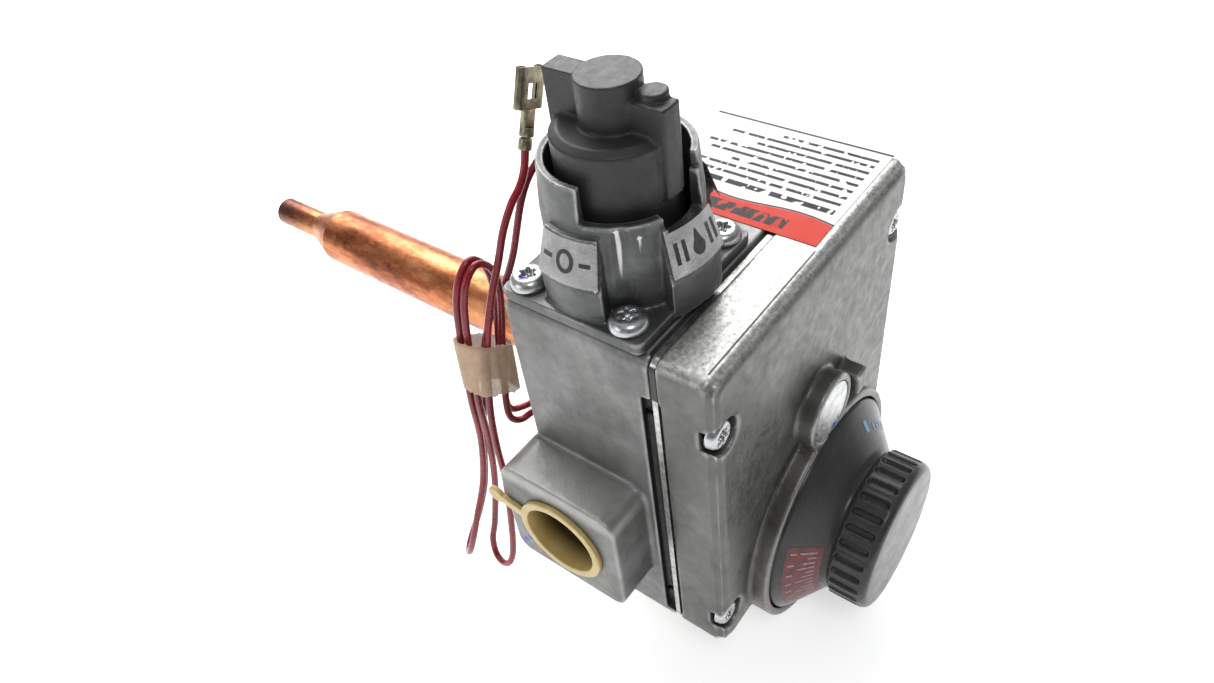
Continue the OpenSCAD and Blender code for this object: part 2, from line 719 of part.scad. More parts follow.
module dial_stem() {
    color(steel) union() {
        rod_y(dx, dz, dial_stem_r, grip_front + 3, dial_stem_end);
        rod_y(dx, dz, 5, dial_stem_end - eps, dial_stem_end + 1.5);
    }
}

module dial_bushing() {
    color(brass) difference() {
        union() {
            rod_y(dx, dz, bush_r, face_y - 0.8, plate_front);
            rod_y(dx, dz, bush_r + 3, cover_in, cover_in + 2);
        }
        rod_y(dx, dz, dial_stem_r + fit, face_y - 2, plate_front + 1);
    }
}

module range_spring() {
    color(steel) translate([dx, dial_stem_end + 1.5, dz]) rotate([-90, 0, 0])
        coil(3.6, 0.45, pivot_y - lever_t / 2 - dial_stem_end - 1.5, 6);
}

module thermostat_bracket() {
    color(steel) difference() {
        union() {
            box([room_x0 + 1, room_back - 1, -8], [21, room_back, 12]);
            for (x = [room_x0 + 1, 20]) box([x, pivot_y - 3, 0], [x + 1, room_back - 1 + eps, 10]);
        }
        rod_y(0, 0, 3.4, room_back - 2, room_back + 1);
        rod_x(pivot_y, pivot_z, pin_r, room_x0, 22);
    }
}

module lever_pin() {
    color(steel) rod_x(pivot_y, pivot_z, pin_r, room_x0 + 1, 21);
}

module thermostat_lever() {
    color("#a9a48c") difference() {
        union() {
            rod_x(pivot_y, pivot_z, eye_r, room_x0 + 2.5, 19);
            box([-2, pivot_y - lever_t / 2, room_z0 + 1.5], [5, pivot_y + lever_t / 2, pivot_z - 1]);
            box([valve_x - 4, valve_y - 4.5, pivot_z - lever_t / 2], [valve_x + 4, pivot_y - 1, pivot_z + lever_t / 2]);
        }
        rod_x(pivot_y, pivot_z, pin_r + fit, room_x0, 22);
        rod_z(valve_x, valve_y, 2.2, pivot_z - 2, pivot_z + 2);
    }
}

module main_seat() {
    color(brass) difference() {
        rod_z(valve_x, valve_y, seat_r + 1.5, room_z0, seat_z);
        rod_z(valve_x, valve_y, seat_r - 1.2, room_z0 - 1, seat_z + 1);
    }
}

module main_valve() {
    color(steel) union() {
        rod_z(valve_x, valve_y, seat_r + 1, seat_z + disc_t, seat_z + disc_t + 1.2);
        rod_z(valve_x, valve_y, 1.2, seat_z + disc_t + 1, pivot_z + lever_t / 2 + head_gap + 1.2);
        rod_z(valve_x, valve_y, 2.7, pivot_z + lever_t / 2 + head_gap, pivot_z + lever_t / 2 + head_gap + 1.4);
    }
}

module main_valve_disc() {
    color(rubber) rod_z(valve_x, valve_y, seat_r + 1, seat_z, seat_z + disc_t);
}

module main_valve_spring() {
    color(steel) translate([valve_x, valve_y, seat_z + disc_t + 1.2])
        coil(4.6, 0.4, pivot_z - lever_t / 2 - seat_z - disc_t - 1.2, 6);
}

module regulator_cap() {
    color(steel) rod_y(rx, rz, reg_cap_r, collar_front + 0.3, collar_front + 1.2);
}

module regulator_screw() {
    color(brass) difference() {
        rod_y(rx, rz, reg_bore - fit, collar_front + 2, collar_front + 5);
        translate([rx - 3.5, collar_front + 1, rz - 0.5]) cube([7, 2.2, 1]);
    }
}

module regulator_spring() {
    color(steel) translate([rx, collar_front + 5, rz]) rotate([-90, 0, 0])
        coil(4, 0.4, plate_front - 2.4 - collar_front - 5, 5);
}

module regulator_diaphragm() {
    color(rubber) difference() {
        rod_y(rx, rz, reg_r - 0.4, plate_front - diaphragm_t, plate_front);
        rod_y(rx, rz, poppet_r + fit, plate_front - 1, plate_front + 1);
    }
}

module regulator_poppet() {
    color(brass) union() {
        rod_y(rx, rz, 4.8, plate_front - 2.4, plate_front - diaphragm_t);
        rod_y(rx, rz, poppet_r, plate_front - 2, plate_back + 8);
        rod_y(rx, rz, 3.4, plate_back + 8 - eps, plate_back + 9.4);
    }
}

module tank_shank() {
    color(brass) difference() {
        union() {
            rod_y(0, 0, shank_r, 0, shank_len);
            rod_y(0, 0, 8 - loose, room_back + 0.5, eps);
        }
        rod_y(0, 0, tube_r, 6, shank_len + 1);
        rod_y(0, 0, rod_r + 0.6, room_back - 1, 7);
    }
}

module sensor_tube() {
    cone0 = tube_len - stub_len - 11;
    color(copper) translate([0, 6, 0]) rotate([-90, 0, 0]) rotate_extrude() polygon([
        [tube_r - 1, 0], [tube_r, 0], [tube_r, cone0 - 6], [stub_r, tube_len - stub_len - 6],
        [stub_r, tube_len - 7.2], [stub_r - 1.2, tube_len - 6], [0, tube_len - 6], [0, tube_len - 8],
        [stub_r - 1, tube_len - 8], [stub_r - 1, tube_len - stub_len - 6], [tube_r - 1, cone0 - 6]
    ]);
}

module sensor_rod() {
    color("#9c9a94") rod_y(0, 0, rod_r, pivot_y + lever_t / 2 + 0.2, tube_len - 2);
}

module cutoff_capsule() {
    color(steel) rod_y(4.9, 0, 1.9, 34, 56);
}

module inlet_plug() {
    x0 = inlet_x - tab_t;
    color("#d9c26a") difference() {
        union() {
            rod_x(inlet_y, 0, plug_flange_r, x0, inlet_x);
            rod_x(inlet_y, 0, inlet_r - loose, inlet_x - eps, inlet_x + plug_depth);
            translate([x0, inlet_y, 0]) rotate([tab_turn, 0, 0]) {
                translate([0, plug_flange_r - 1.5, -1.3]) cube([tab_t, tab_len, 2.6]);
                translate([0, plug_flange_r - 1.5 + tab_len, 0]) rotate([0, 90, 0]) cylinder(r = 2.3, h = tab_t);
            }
        }
        rod_x(inlet_y, 0, inlet_r - loose - plug_wall, x0 - 1, inlet_x + plug_depth - plug_wall);
    }
}

module inlet_screen() {
    color(steel) rod_x(inlet_y, 0, inlet_r - loose, inlet_x + inlet_depth - 1.4, inlet_x + inlet_depth);
}

module pilot_fitting() {
    color(brass) difference() {
        union() {
            rod_z(pilot_x, pilot_y, 6 - loose, body_z0 - 1, body_z0 + 5.5);
            translate([pilot_x, pilot_y, body_z0 - 7]) cylinder(r = 7.2, h = 7, $fn = 6);
        }
        rod_z(pilot_x, pilot_y, pilot_r, body_z0 - 8, body_z0 + 3);
        rod_z(pilot_x, pilot_y, 1, body_z0, body_z0 + 6);
    }
}

module burner_seat() {
    color(brass) difference() {
        rod_z(valve_x, valve_y, burner_r - seat_step - loose, burner_step, burner_step + 2);
        rod_z(valve_x, valve_y, 5, body_z0, body_z0 + 6);
    }
}

module tap_plug() {
    color(brass) difference() {
        union() {
            rod_z(tap_x, tap_y, tap_r - loose, body_z0 - 0.5, body_z0 + 5);
            rod_z(tap_x, tap_y, 4.6, body_z0 - 2.5, body_z0);
        }
        translate([tap_x, tap_y, body_z0 - 3]) cylinder(r = 2.4, h = 2.5, $fn = 6);
    }
}

module lead_grommet() {
    color(rubber) difference() {
        union() {
            rod_y(grommet_x, grommet_z, grommet_r - 1, -3, eps);
            rod_y(grommet_x, grommet_z, grommet_r, 0, grommet_out);
        }
        for (s = [-1, 1]) rod_y(grommet_x + lead_pitch * s, grommet_z, lead_r - 0.4, grommet_out - 2, grommet_out + 1);
    }
}

module red_lead_a() {
    color(red) swept(smooth(route_a, 2), lead_r);
}

module red_lead_b() {
    color(red) swept(smooth(route_b, 3), lead_r);
}

module spade(at, tilt) {
    color("#a39a78") translate(at) rotate([0, tilt, 0]) difference() {
        union() {
            translate([-1.5, -1.3, 0]) cube([3, 2.6, 5]);
            translate([-1.2, -1.3, 5 - eps]) cube([2.4, 0.8, 3.2]);
            translate([-3.7, -1.3, 8]) cube([7.4, 2.6, 8.4]);
        }
        translate([-2.9, -0.5, 7.8]) cube([5.8, 1, 9]);
        translate([-1.4, -2, 9.6]) cube([2.8, 1.4, 3.6]);
    }
}

module terminal_a() {
    spade(crimp_a, tilt_a);
}

module terminal_b() {
    spade(crimp_b, tilt_b);
}

module lead_tape() {
    color("#cdb98f") intersection() {
        translate(tape_at) rotate([0, tape_lean, tape_lean]) translate([0, 0, -tape_wide]) linear_extrude(2 * tape_wide)
            difference() {
                round_rect(-tape_half, tape_half, 4);
                round_rect([tape_wall, tape_wall] - tape_half, tape_half - [tape_wall, tape_wall], 4 - tape_wall);
            }
        translate(tape_at) rotate([0, tape_cut, 0]) translate([-20, -10, -tape_wide / 2]) cube([40, 20, tape_wide]);
    }
}

module warning_label() {
    color("#f0efe9") box([foot_x1 + 4.6, face_y + 3.6, body_up], [half_w - 0.6, -0.6, body_up + 0.15]);
}

valve_body();
front_cover();
divider_plate();
cover_gasket();
cover_screws();
bonnet();
bonnet_gasket();
bonnet_screws();
stem_seal();
gas_cock_knob();
cock_stem();
drive_pin();
reset_rod();
knob_spring();
gas_cock_plug();
cock_spring();
safety_magnet();
magnet_spring();
armature();
closing_disc();
thermocouple_socket();
thermostat_dial();
dial_stem();
dial_bushing();
range_spring();
thermostat_bracket();
lever_pin();
thermostat_lever();
main_seat();
main_valve();
main_valve_disc();
main_valve_spring();
regulator_cap();
regulator_screw();
regulator_spring();
regulator_diaphragm();
regulator_poppet();
tank_shank();
sensor_tube();
sensor_rod();
cutoff_capsule();
inlet_boss();
inlet_plug();
inlet_screen();
pilot_fitting();
burner_seat();
tap_plug();
lead_grommet();
red_lead_a();
red_lead_b();
terminal_a();
terminal_b();
lead_tape();
warning_label();
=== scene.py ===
import json
import math
import random

import bmesh
import bpy
from mathutils import Matrix, Vector


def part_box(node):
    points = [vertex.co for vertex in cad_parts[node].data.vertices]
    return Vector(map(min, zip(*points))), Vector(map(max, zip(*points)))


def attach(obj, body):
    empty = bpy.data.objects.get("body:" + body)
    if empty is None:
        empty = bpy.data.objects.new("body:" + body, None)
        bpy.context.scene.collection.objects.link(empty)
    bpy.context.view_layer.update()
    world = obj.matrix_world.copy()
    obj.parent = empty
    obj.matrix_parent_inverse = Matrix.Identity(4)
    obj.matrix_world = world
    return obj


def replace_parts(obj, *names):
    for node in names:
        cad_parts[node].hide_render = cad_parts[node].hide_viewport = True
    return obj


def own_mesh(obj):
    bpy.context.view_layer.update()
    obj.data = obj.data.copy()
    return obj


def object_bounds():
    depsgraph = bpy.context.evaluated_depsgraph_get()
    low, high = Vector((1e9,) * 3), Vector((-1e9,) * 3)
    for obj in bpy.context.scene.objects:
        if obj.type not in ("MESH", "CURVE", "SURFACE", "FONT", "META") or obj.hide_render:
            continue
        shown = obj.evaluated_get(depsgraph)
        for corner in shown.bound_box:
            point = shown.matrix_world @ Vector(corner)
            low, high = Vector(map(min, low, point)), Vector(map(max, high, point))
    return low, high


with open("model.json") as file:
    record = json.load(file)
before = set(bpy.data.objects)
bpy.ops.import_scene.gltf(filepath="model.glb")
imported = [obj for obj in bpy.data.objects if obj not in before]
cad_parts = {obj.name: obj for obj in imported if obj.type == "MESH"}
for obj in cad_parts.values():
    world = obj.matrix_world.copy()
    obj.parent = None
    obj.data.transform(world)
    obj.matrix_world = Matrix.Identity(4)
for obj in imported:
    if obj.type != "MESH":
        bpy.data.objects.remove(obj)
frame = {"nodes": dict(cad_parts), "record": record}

cad_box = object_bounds()

# --- Room: a pale table top, soft light from both sides and above, and a camera over the inlet.
# The valve stands on the lowest point of its dial's collar, and the leads hang free behind it.
mm = 0.001
low = cad_box[0]
scene = bpy.context.scene
scene.view_settings.view_transform = "Standard"

camera_data = bpy.data.cameras.new("camera")
camera_data.lens = 26.435
camera_data.sensor_width = 36
camera_data.clip_start = 0.01
camera = bpy.data.objects.new("camera", camera_data)
scene.collection.objects.link(camera)
scene.camera = camera
camera_right = (0.5980, -0.7935, -0.1129)
camera_up = (0.6016, 0.3514, 0.7174)
camera_back = (-0.5296, -0.4969, 0.6875)
camera_turn = Matrix((camera_right, camera_up, camera_back)).transposed()
camera.matrix_world = Matrix.Translation((-0.12547, -0.10597, 0.16815)) @ camera_turn.to_4x4()

world = bpy.data.worlds.new("studio")
scene.world = world
world.use_nodes = True
sky = world.node_tree.nodes["Background"]
towards = world.node_tree.nodes.new("ShaderNodeTexCoord").outputs["Generated"]
facing = world.node_tree.nodes.new("ShaderNodeVectorMath")
facing.operation = "DOT_PRODUCT"
facing.inputs[1].default_value = (0.45, 0.45, 0.77)
sky_ramp = world.node_tree.nodes.new("ShaderNodeValToRGB")
sky_ramp.color_ramp.elements[0].color = (0.30, 0.31, 0.33, 1)
sky_ramp.color_ramp.elements[1].position = 0.85
sky_ramp.color_ramp.elements[1].color = (0.95, 0.97, 1.0, 1)
world.node_tree.links.new(towards, facing.inputs[0])
world.node_tree.links.new(facing.outputs["Value"], sky_ramp.inputs["Fac"])
world.node_tree.links.new(sky_ramp.outputs["Color"], sky.inputs["Color"])
sky.inputs["Strength"].default_value = 0.5


def softbox(name, at, aim, size, power):
    """A square lamp with a diffuser, turned towards the valve."""
    lamp = bpy.data.lights.new(name, "AREA")
    lamp.size = size
    lamp.energy = power
    holder = bpy.data.objects.new(name, lamp)
    holder.location = at
    holder.rotation_euler = (Vector(aim) - Vector(at)).to_track_quat("-Z", "Y").to_euler()
    scene.collection.objects.link(holder)


softbox("softbox_behind", (0.48, 0.50, 0.66), (0, 0, 0), 0.95, 14)
softbox("softbox_left", (-0.75, 0.35, 0.30), (0, 0, 0), 0.4, 1.2)
softbox("softbox_over_camera", (-0.30, -0.35, 0.80), (0, 0, 0), 0.25, 1.6)


def new_mesh(name, verts, faces):
    """A new smooth-shaded object with these points, in millimetres, and faces."""
    mesh = bpy.data.meshes.new(name)
    mesh.from_pydata([[c * mm for c in v] for v in verts], [], faces)
    mesh.update()
    for polygon in mesh.polygons:
        polygon.use_smooth = True
    thing = bpy.data.objects.new(name, mesh)
    scene.collection.objects.link(thing)
    return thing


table_half, table_z = 3000, low[2] / mm
table_corners = [(x * table_half, y * table_half, table_z)
                 for x, y in ((-1, -1), (1, -1), (1, 1), (-1, 1))]
table = new_mesh("table_top", table_corners, [(0, 1, 2, 3)])
table_paint = bpy.data.materials.new("table_top")
table_paint.use_nodes = True
table_shader = table_paint.node_tree.nodes["Principled BSDF"]
table_shader.inputs["Base Color"].default_value = (0.92, 0.92, 0.92, 1)
table_shader.inputs["Roughness"].default_value = 0.6
table_shader.inputs["Emission Color"].default_value = (1, 1, 1, 1)
table_shader.inputs["Emission Strength"].default_value = 0.55
table.data.materials.append(table_paint)


class Finish:
    """A material being built up from nodes, all in the piece's own coordinates."""

    def __init__(self, name, colour, rough, metal=0.0):
        self.material = bpy.data.materials.new(name)
        self.material.use_nodes = True
        self.tree = self.material.node_tree
        self.shader = self.tree.nodes["Principled BSDF"]
        self.shader.inputs["Base Color"].default_value = (*colour, 1)
        self.shader.inputs["Roughness"].default_value = rough
        self.shader.inputs["Metallic"].default_value = metal
        self.place = self.tree.nodes.new("ShaderNodeTexCoord").outputs["Object"]

    def node(self, kind, **values):
        made = self.tree.nodes.new(kind)
        for key, value in values.items():
            setattr(made, key, value)
        return made

    def link(self, a, b):
        self.tree.links.new(a, b)

    def stretched(self, scale):
        """The piece's coordinates, drawn out so that grain follows one direction."""
        mapping = self.node("ShaderNodeMapping")
        mapping.inputs["Scale"].default_value = scale
        self.link(self.place, mapping.inputs["Vector"])
        return mapping.outputs["Vector"]

    def noise(self, size, detail=4, rough=0.55, place=None):
        """Cloudy noise with spots about size millimetres across."""
        made = self.node("ShaderNodeTexNoise")
        made.inputs["Scale"].default_value = 1 / (size * mm)
        made.inputs["Detail"].default_value = detail
        made.inputs["Roughness"].default_value = rough
        self.link(place or self.place, made.inputs["Vector"])
        return made.outputs["Fac"]

    def ramp(self, value, *stops):
        """Turns a value into a colour, or a number, by (position, colour) stops."""
        made = self.node("ShaderNodeValToRGB")
        ramp = made.color_ramp
        while len(ramp.elements) < len(stops):
            ramp.elements.new(0.5)
        for element, (position, colour) in zip(ramp.elements, stops):
            element.position = position
            grey = isinstance(colour, (int, float))
            element.color = (colour, colour, colour, 1) if grey else (*colour, 1)
        self.link(value, made.inputs["Fac"])
        return made.outputs["Color"]

    def sum(self, a, b, share):
        """a with share times b added."""
        made = self.node("ShaderNodeMath", operation="MULTIPLY_ADD")
        self.link(b, made.inputs[0])
        made.inputs[1].default_value = share
        self.link(a, made.inputs[2])
        return made.outputs[0]

    def mixed(self, mask, a, b):
        """Colour a where mask is 0 and b where it is 1. Each is a colour or a node's output."""
        made = self.node("ShaderNodeMix", data_type="RGBA", blend_type="MIX")
        for socket, value in ((made.inputs[6], a), (made.inputs[7], b)):
            if isinstance(value, tuple):
                socket.default_value = (*value, 1)
            else:
                self.link(value, socket)
        if isinstance(mask, (int, float)):
            made.inputs[0].default_value = mask
        else:
            self.link(mask, made.inputs[0])
        return made.outputs[2]

    def colour(self, value):
        self.link(value, self.shader.inputs["Base Color"])

    def roughness(self, value):
        self.link(value, self.shader.inputs["Roughness"])

    def bump(self, height, depth):
        """Surface relief, with depth in millimetres between the lowest and highest values."""
        made = self.node("ShaderNodeBump")
        made.inputs["Strength"].default_value = 1
        made.inputs["Distance"].default_value = depth * mm
        self.link(height, made.inputs["Height"])
        self.link(made.outputs["Normal"], self.shader.inputs["Normal"])

    def math(self, kind, a, b=0.0):
        made = self.node("ShaderNodeMath", operation=kind)
        for socket, value in zip(made.inputs, (a, b)):
            if isinstance(value, (int, float)):
                socket.default_value = value
            else:
                self.link(value, socket)
        return made.outputs[0]

    def along(self, axis):
        """How far along X, Y or Z a point lies, in metres."""
        made = self.node("ShaderNodeSeparateXYZ")
        self.link(self.place, made.inputs["Vector"])
        return made.outputs[axis]

    def above(self, value, edge, soft=0.12):
        """0 below an edge and 1 above it, in millimetres."""
        made = self.node("ShaderNodeMapRange")
        self.link(value, made.inputs["Value"])
        made.inputs["From Min"].default_value = (edge - soft) * mm
        made.inputs["From Max"].default_value = (edge + soft) * mm
        return made.outputs["Result"]

    def between(self, value, low_edge, high_edge, soft=0.12):
        """1 between two edges, in millimetres."""
        return self.math("SUBTRACT", self.above(value, low_edge, soft),
                         self.above(value, high_edge, soft))

    def faded(self, away, full, none):
        """1 as far as full millimetres away, down to 0 from none on."""
        return self.ramp(self.math("MULTIPLY", away, 1 / (none * mm)), (full / none, 1), (1, 0))

    def inside(self, x, y, z, soft=0.12):
        """1 inside a box given by its two faces on each axis, in millimetres."""
        mask = self.between(self.along("X"), *x, soft)
        for axis, faces in (("Y", y), ("Z", z)):
            mask = self.math("MULTIPLY", mask, self.between(self.along(axis), *faces, soft))
        return mask

    def edges(self, low_value, high_value):
        """1 on sharp outer edges, 0 on flat faces."""
        point = self.node("ShaderNodeNewGeometry").outputs["Pointiness"]
        return self.ramp(point, (low_value, 0), (high_value, 1))


def paint(thing, finish):
    """Gives a piece, or a CAD node carried over, one finish."""
    thing.data.materials.clear()
    thing.data.materials.append(finish.material)


def join_faces(parts):
    """One list of points and faces from several."""
    verts, faces = [], []
    for part_verts, part_faces in parts:
        faces += [[i + len(verts) for i in face] for face in part_faces]
        verts += part_verts
    return verts, faces


def grid_faces(columns, rows):
    """The faces of an open sheet of points, laid row by row."""
    return [(j * columns + i, j * columns + i + 1, (j + 1) * columns + i + 1, (j + 1) * columns + i)
            for j in range(rows - 1) for i in range(columns - 1)]


def ring_faces(around, rings):
    """The faces of a closed sleeve of points, laid ring by ring."""
    return [(j * around + i, j * around + (i + 1) % around,
             (j + 1) * around + (i + 1) % around, (j + 1) * around + i)
            for j in range(rings - 1) for i in range(around)]


# --- Cut-off leads: two stranded copper wires in glossy red insulation, from the thermal cut-off.
# They leave the back through a rubber grommet, loop up and down beside the casting twice over,
# and end in spade terminals.
lead_d = 1.7
lead_a_route = [
    [-30, 3, 10], [-30, 7, 10], [-31.6, 10, 8.9], [-34.6, 11.6, 8], [-36.8, 12.4, 10.5],
    [-36.4, 13, 15.5], [-34.5, 13.2, 23.7], [-32.7, 13.2, 32.4], [-30.4, 13.2, 41.3],
    [-29.7, 13.2, 48], [-30.9, 13.3, 52.6], [-34, 13.6, 55], [-37.3, 13.8, 52.8], [-39, 14, 49],
    [-40.1, 14, 45], [-41.2, 14, 38.5], [-42.1, 14.2, 29.9], [-42.8, 14.6, 20],
    [-42.6, 15.6, 5.8], [-43.6, 17, -9.9], [-46.2, 18.8, -25.3], [-48.4, 19.2, -31.5],
    [-49.9, 17.8, -35.6], [-50.5, 15, -37], [-50.3, 12.2, -34.8], [-49, 10.9, -29.5],
    [-47, 10.6, -18.6], [-44.9, 10.6, -4], [-44.2, 10.8, 8.9], [-42.6, 11, 21.4], [-38.7, 11, 37],
    [-34.9, 10.4, 47.5], [-31.3, 9.4, 55.6], [-29, 8.4, 62.2], [-26.1, 7.5, 67.3],
    [-23.4, 7, 69.9], [-21.2, 7, 72.6], [-19.8, 7, 76.5],
]
lead_b_route = [
    [-26, 3, 10], [-26, 7, 10], [-27.4, 11, 9], [-30.4, 14, 7.6], [-33.6, 15.2, 8.8],
    [-34.6, 15.2, 13], [-33.3, 15.2, 21.5], [-32, 15.2, 30.9], [-30, 15.2, 40.7],
    [-29.7, 15.2, 48], [-31, 15.2, 52.9], [-34, 15.5, 55.4], [-37.4, 15.8, 52.9], [-39.2, 16, 49],
    [-40.3, 16, 45], [-41.5, 16, 37.9], [-42.5, 16.2, 29.2], [-43.3, 16.6, 19.3],
    [-43.3, 17.8, 5.2], [-45.5, 19.2, -9.2], [-49.9, 20.2, -19.8], [-53, 21, -27.4],
    [-54, 22.8, -33.2], [-53.2, 25.4, -36.8], [-50.8, 27.6, -37.8], [-48, 27.8, -34.6],
    [-45.2, 26.6, -29], [-41.5, 24.6, -17.6], [-39.7, 22, -1.2], [-38.9, 18.8, 12.8],
    [-37, 17.7, 21.5], [-34.6, 17.5, 29.9], [-30.4, 17.3, 37.1], [-25.6, 16.2, 42.4],
    [-23.2, 13.8, 50.1], [-22.1, 11.8, 57.4], [-20.5, 10.6, 63.5], [-17.9, 9.8, 68.1],
    [-14, 9.3, 70.9], [-9, 8.8, 73.1],
]


def curve_points(route):
    """Points along one smooth curve through the route's points."""
    steps = 5
    out = []
    for i in range(len(route) - 1):
        ends = (min(max(k, 0), len(route) - 1) for k in (i - 1, i, i + 1, i + 2))
        a, b, c, d = (Vector(route[k]) for k in ends)
        for j in range(steps):
            t = j / steps
            out.append(0.5 * (2 * b + (c - a) * t + (2 * a - 5 * b + 4 * c - d) * t * t
                              + (3 * b - a - 3 * c + d) * t ** 3))
    return out + [Vector(route[-1])]


red_vinyl = Finish("red_insulation", (0.42, 0.015, 0.03), 0.3)
red_vinyl.colour(red_vinyl.ramp(red_vinyl.noise(9, 3), (0.3, (0.16, 0.006, 0.014)),
                                (0.7, (0.30, 0.012, 0.024))))
red_vinyl.roughness(red_vinyl.ramp(red_vinyl.noise(1.5, 3), (0.3, 0.22), (0.8, 0.42)))
red_vinyl.bump(red_vinyl.noise(1.6, 2), 0.02)
red_vinyl.shader.inputs["Coat Weight"].default_value = 0.1


def lead(name, route):
    """One wire as a curve of the lead's thickness."""
    curve = bpy.data.curves.new(name, "CURVE")
    curve.dimensions = "3D"
    curve.bevel_depth = lead_d / 2 * mm
    curve.bevel_resolution = 5
    curve.use_fill_caps = True
    points = curve_points(route)
    spline = curve.splines.new("POLY")
    spline.points.add(len(points) - 1)
    for point, where in zip(spline.points, points):
        point.co = (*(where * mm), 1)
    spline.use_smooth = True
    thing = bpy.data.objects.new(name, curve)
    scene.collection.objects.link(thing)
    thing.data.materials.append(red_vinyl.material)
    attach(thing, "valve")
    return thing


def route_length(route):
    """A lead's length in metres."""
    points = curve_points(route)
    return sum((b - a).length for a, b in zip(points, points[1:])) * mm


lead_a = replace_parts(lead("lead_a", lead_a_route), "red_lead_a")
lead_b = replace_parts(lead("lead_b", lead_b_route), "red_lead_b")

# --- Spade terminals: tin-plated brass, folded on a press from strip, crimped on the leads' ends.
# Each has a crimp round the wire, and a flat body with rolled sides and a window for its tang.
terminal_tin = Finish("terminal_plate", (0.5, 0.46, 0.34), 0.3, 0.85)
terminal_tin.colour(terminal_tin.ramp(terminal_tin.noise(2.2, 4), (0.3, (0.16, 0.14, 0.09)),
                                      (0.6, (0.34, 0.30, 0.21)), (0.8, (0.48, 0.45, 0.36))))
terminal_tin.roughness(terminal_tin.ramp(terminal_tin.noise(0.8, 3), (0.3, 0.22), (0.75, 0.5)))
terminal_tin.bump(terminal_tin.noise(0.5, 3), 0.02)


def folded_strip(outline, heights, window=()):
    """Sheet folded to an outline in x and y, running up through the heights.
    The window is the (step up, step along) of each patch left out."""
    verts = [(x, y, z) for z in heights for x, y in outline]
    n = len(outline)
    faces = []
    for k in range(len(heights) - 1):
        for i in range(n - 1):
            if (k, i) in window:
                continue
            faces.append([k * n + i, k * n + i + 1, (k + 1) * n + i + 1, (k + 1) * n + i])
    return verts, faces


def arc(cx, cy, r, a0, a1, steps):
    """Points round an arc, in degrees."""
    return [(cx + r * math.cos(math.radians(a0 + (a1 - a0) * i / steps)),
             cy + r * math.sin(math.radians(a0 + (a1 - a0) * i / steps))) for i in range(steps + 1)]


def thicken(thing, wall, edge=0.0):
    """Gives a folded sheet its thickness, and eases its edges."""
    solid = thing.modifiers.new("wall", "SOLIDIFY")
    solid.thickness = wall * mm
    solid.offset = 0
    if edge:
        ease = thing.modifiers.new("edge", "BEVEL")
        ease.width = edge * mm
        ease.segments = 2
        ease.limit_method = "ANGLE"


def spade(name, crimp_at, tilt, node):
    """One terminal, crimped at a point and leaning over by tilt degrees."""
    rails = (arc(2.55, 0.25, 0.95, 200, -90, 7) + [(1.4, -0.7), (-1.4, -0.7)]
             + arc(-2.55, 0.25, 0.95, 270, -20, 7))
    body = folded_strip(rails, (8.2, 10.2, 13.2, 16.2), ((1, 8),))
    neck = folded_strip([(-1.5, 0.5), (-1.3, -0.55), (1.3, -0.55), (1.5, 0.5)], (4.6, 6.4, 8.3))
    grip = folded_strip(arc(0, 0.1, 1.22, 80, 460, 16), (0.2, 1.4, 2.4))
    wings = folded_strip(arc(0.62, 0.35, 0.62, 200, -20, 6) + arc(0, -0.1, 1.25, -10, -170, 8)
                         + arc(-0.62, 0.35, 0.62, 200, -20, 6), (2.9, 3.8, 4.7))
    verts, faces = join_faces([body, neck, grip, wings])
    turn = Matrix.Rotation(math.radians(tilt), 4, "Y")
    at = Vector(crimp_at)
    thing = new_mesh(name, [tuple(at + turn @ Vector(v)) for v in verts], faces)
    thicken(thing, 0.36, 0.06)
    paint(thing, terminal_tin)
    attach(thing, "valve")
    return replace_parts(thing, node)


spade_a = spade("spade_a", lead_a_route[-1], 22, "terminal_a")
spade_b = spade("spade_b", lead_b_route[-1], 62, "terminal_b")
route_length(lead_a_route)
route_length(lead_b_route)

# --- Castings: back body with its inlet boss, front cover and turret, die-cast in aluminium alloy.
# They are tumbled, so their faces are dull and mottled; their edges are painted pale, partly as
# rubbed bright metal and partly as painted edge highlights.


def cast_finish(name, dark, mid, light, tint, rough, grain=0.05):
    """Tumbled casting: clouded and streaked metal, dark specks, pale scuffs, and edges painted pale
    as rubbed metal and painted highlight.
    """
    rubbed_edge_and_highlight = (0.60, 0.60, 0.58)
    metal = Finish(name, mid, rough, 0.6)
    clouds = metal.ramp(metal.noise(13, 5, 0.62), (0.32, dark), (0.5, mid), (0.66, light))
    streaky = metal.noise(3.2, 5, 0.7, metal.stretched((1, 1, 0.3)))
    streaks = metal.ramp(streaky, (0.40, 0), (0.64, 1))
    base = metal.mixed(metal.ramp(metal.noise(30, 2), (0.4, 0), (0.75, 0.55)), clouds, tint)
    base = metal.mixed(streaks, base, metal.mixed(0.3, base, light))
    specks = metal.ramp(metal.noise(0.7, 3, 0.7), (0.62, 0), (0.74, 0.5))
    base = metal.mixed(specks, base, dark)
    scratchy = metal.noise(1.6, 6, 0.75, metal.stretched((1, 0.25, 1)))
    scuffs = metal.ramp(scratchy, (0.66, 0), (0.72, 0.6))
    base = metal.mixed(scuffs, base, light)
    # Sharp edges are painted pale: rubbed metal, with a painted highlight along them.
    metal.base = metal.mixed(metal.edges(0.51, 0.58), base, rubbed_edge_and_highlight)
    metal.colour(metal.base)
    metal.roughness(metal.ramp(metal.noise(2.4, 5), (0.3, rough - 0.12), (0.75, rough + 0.12)))
    fine = metal.noise(0.45, 3, 0.6)
    metal.bump(metal.sum(metal.sum(fine, metal.noise(2.6, 3), 1.2), metal.noise(9, 2), 3), grain)
    return metal


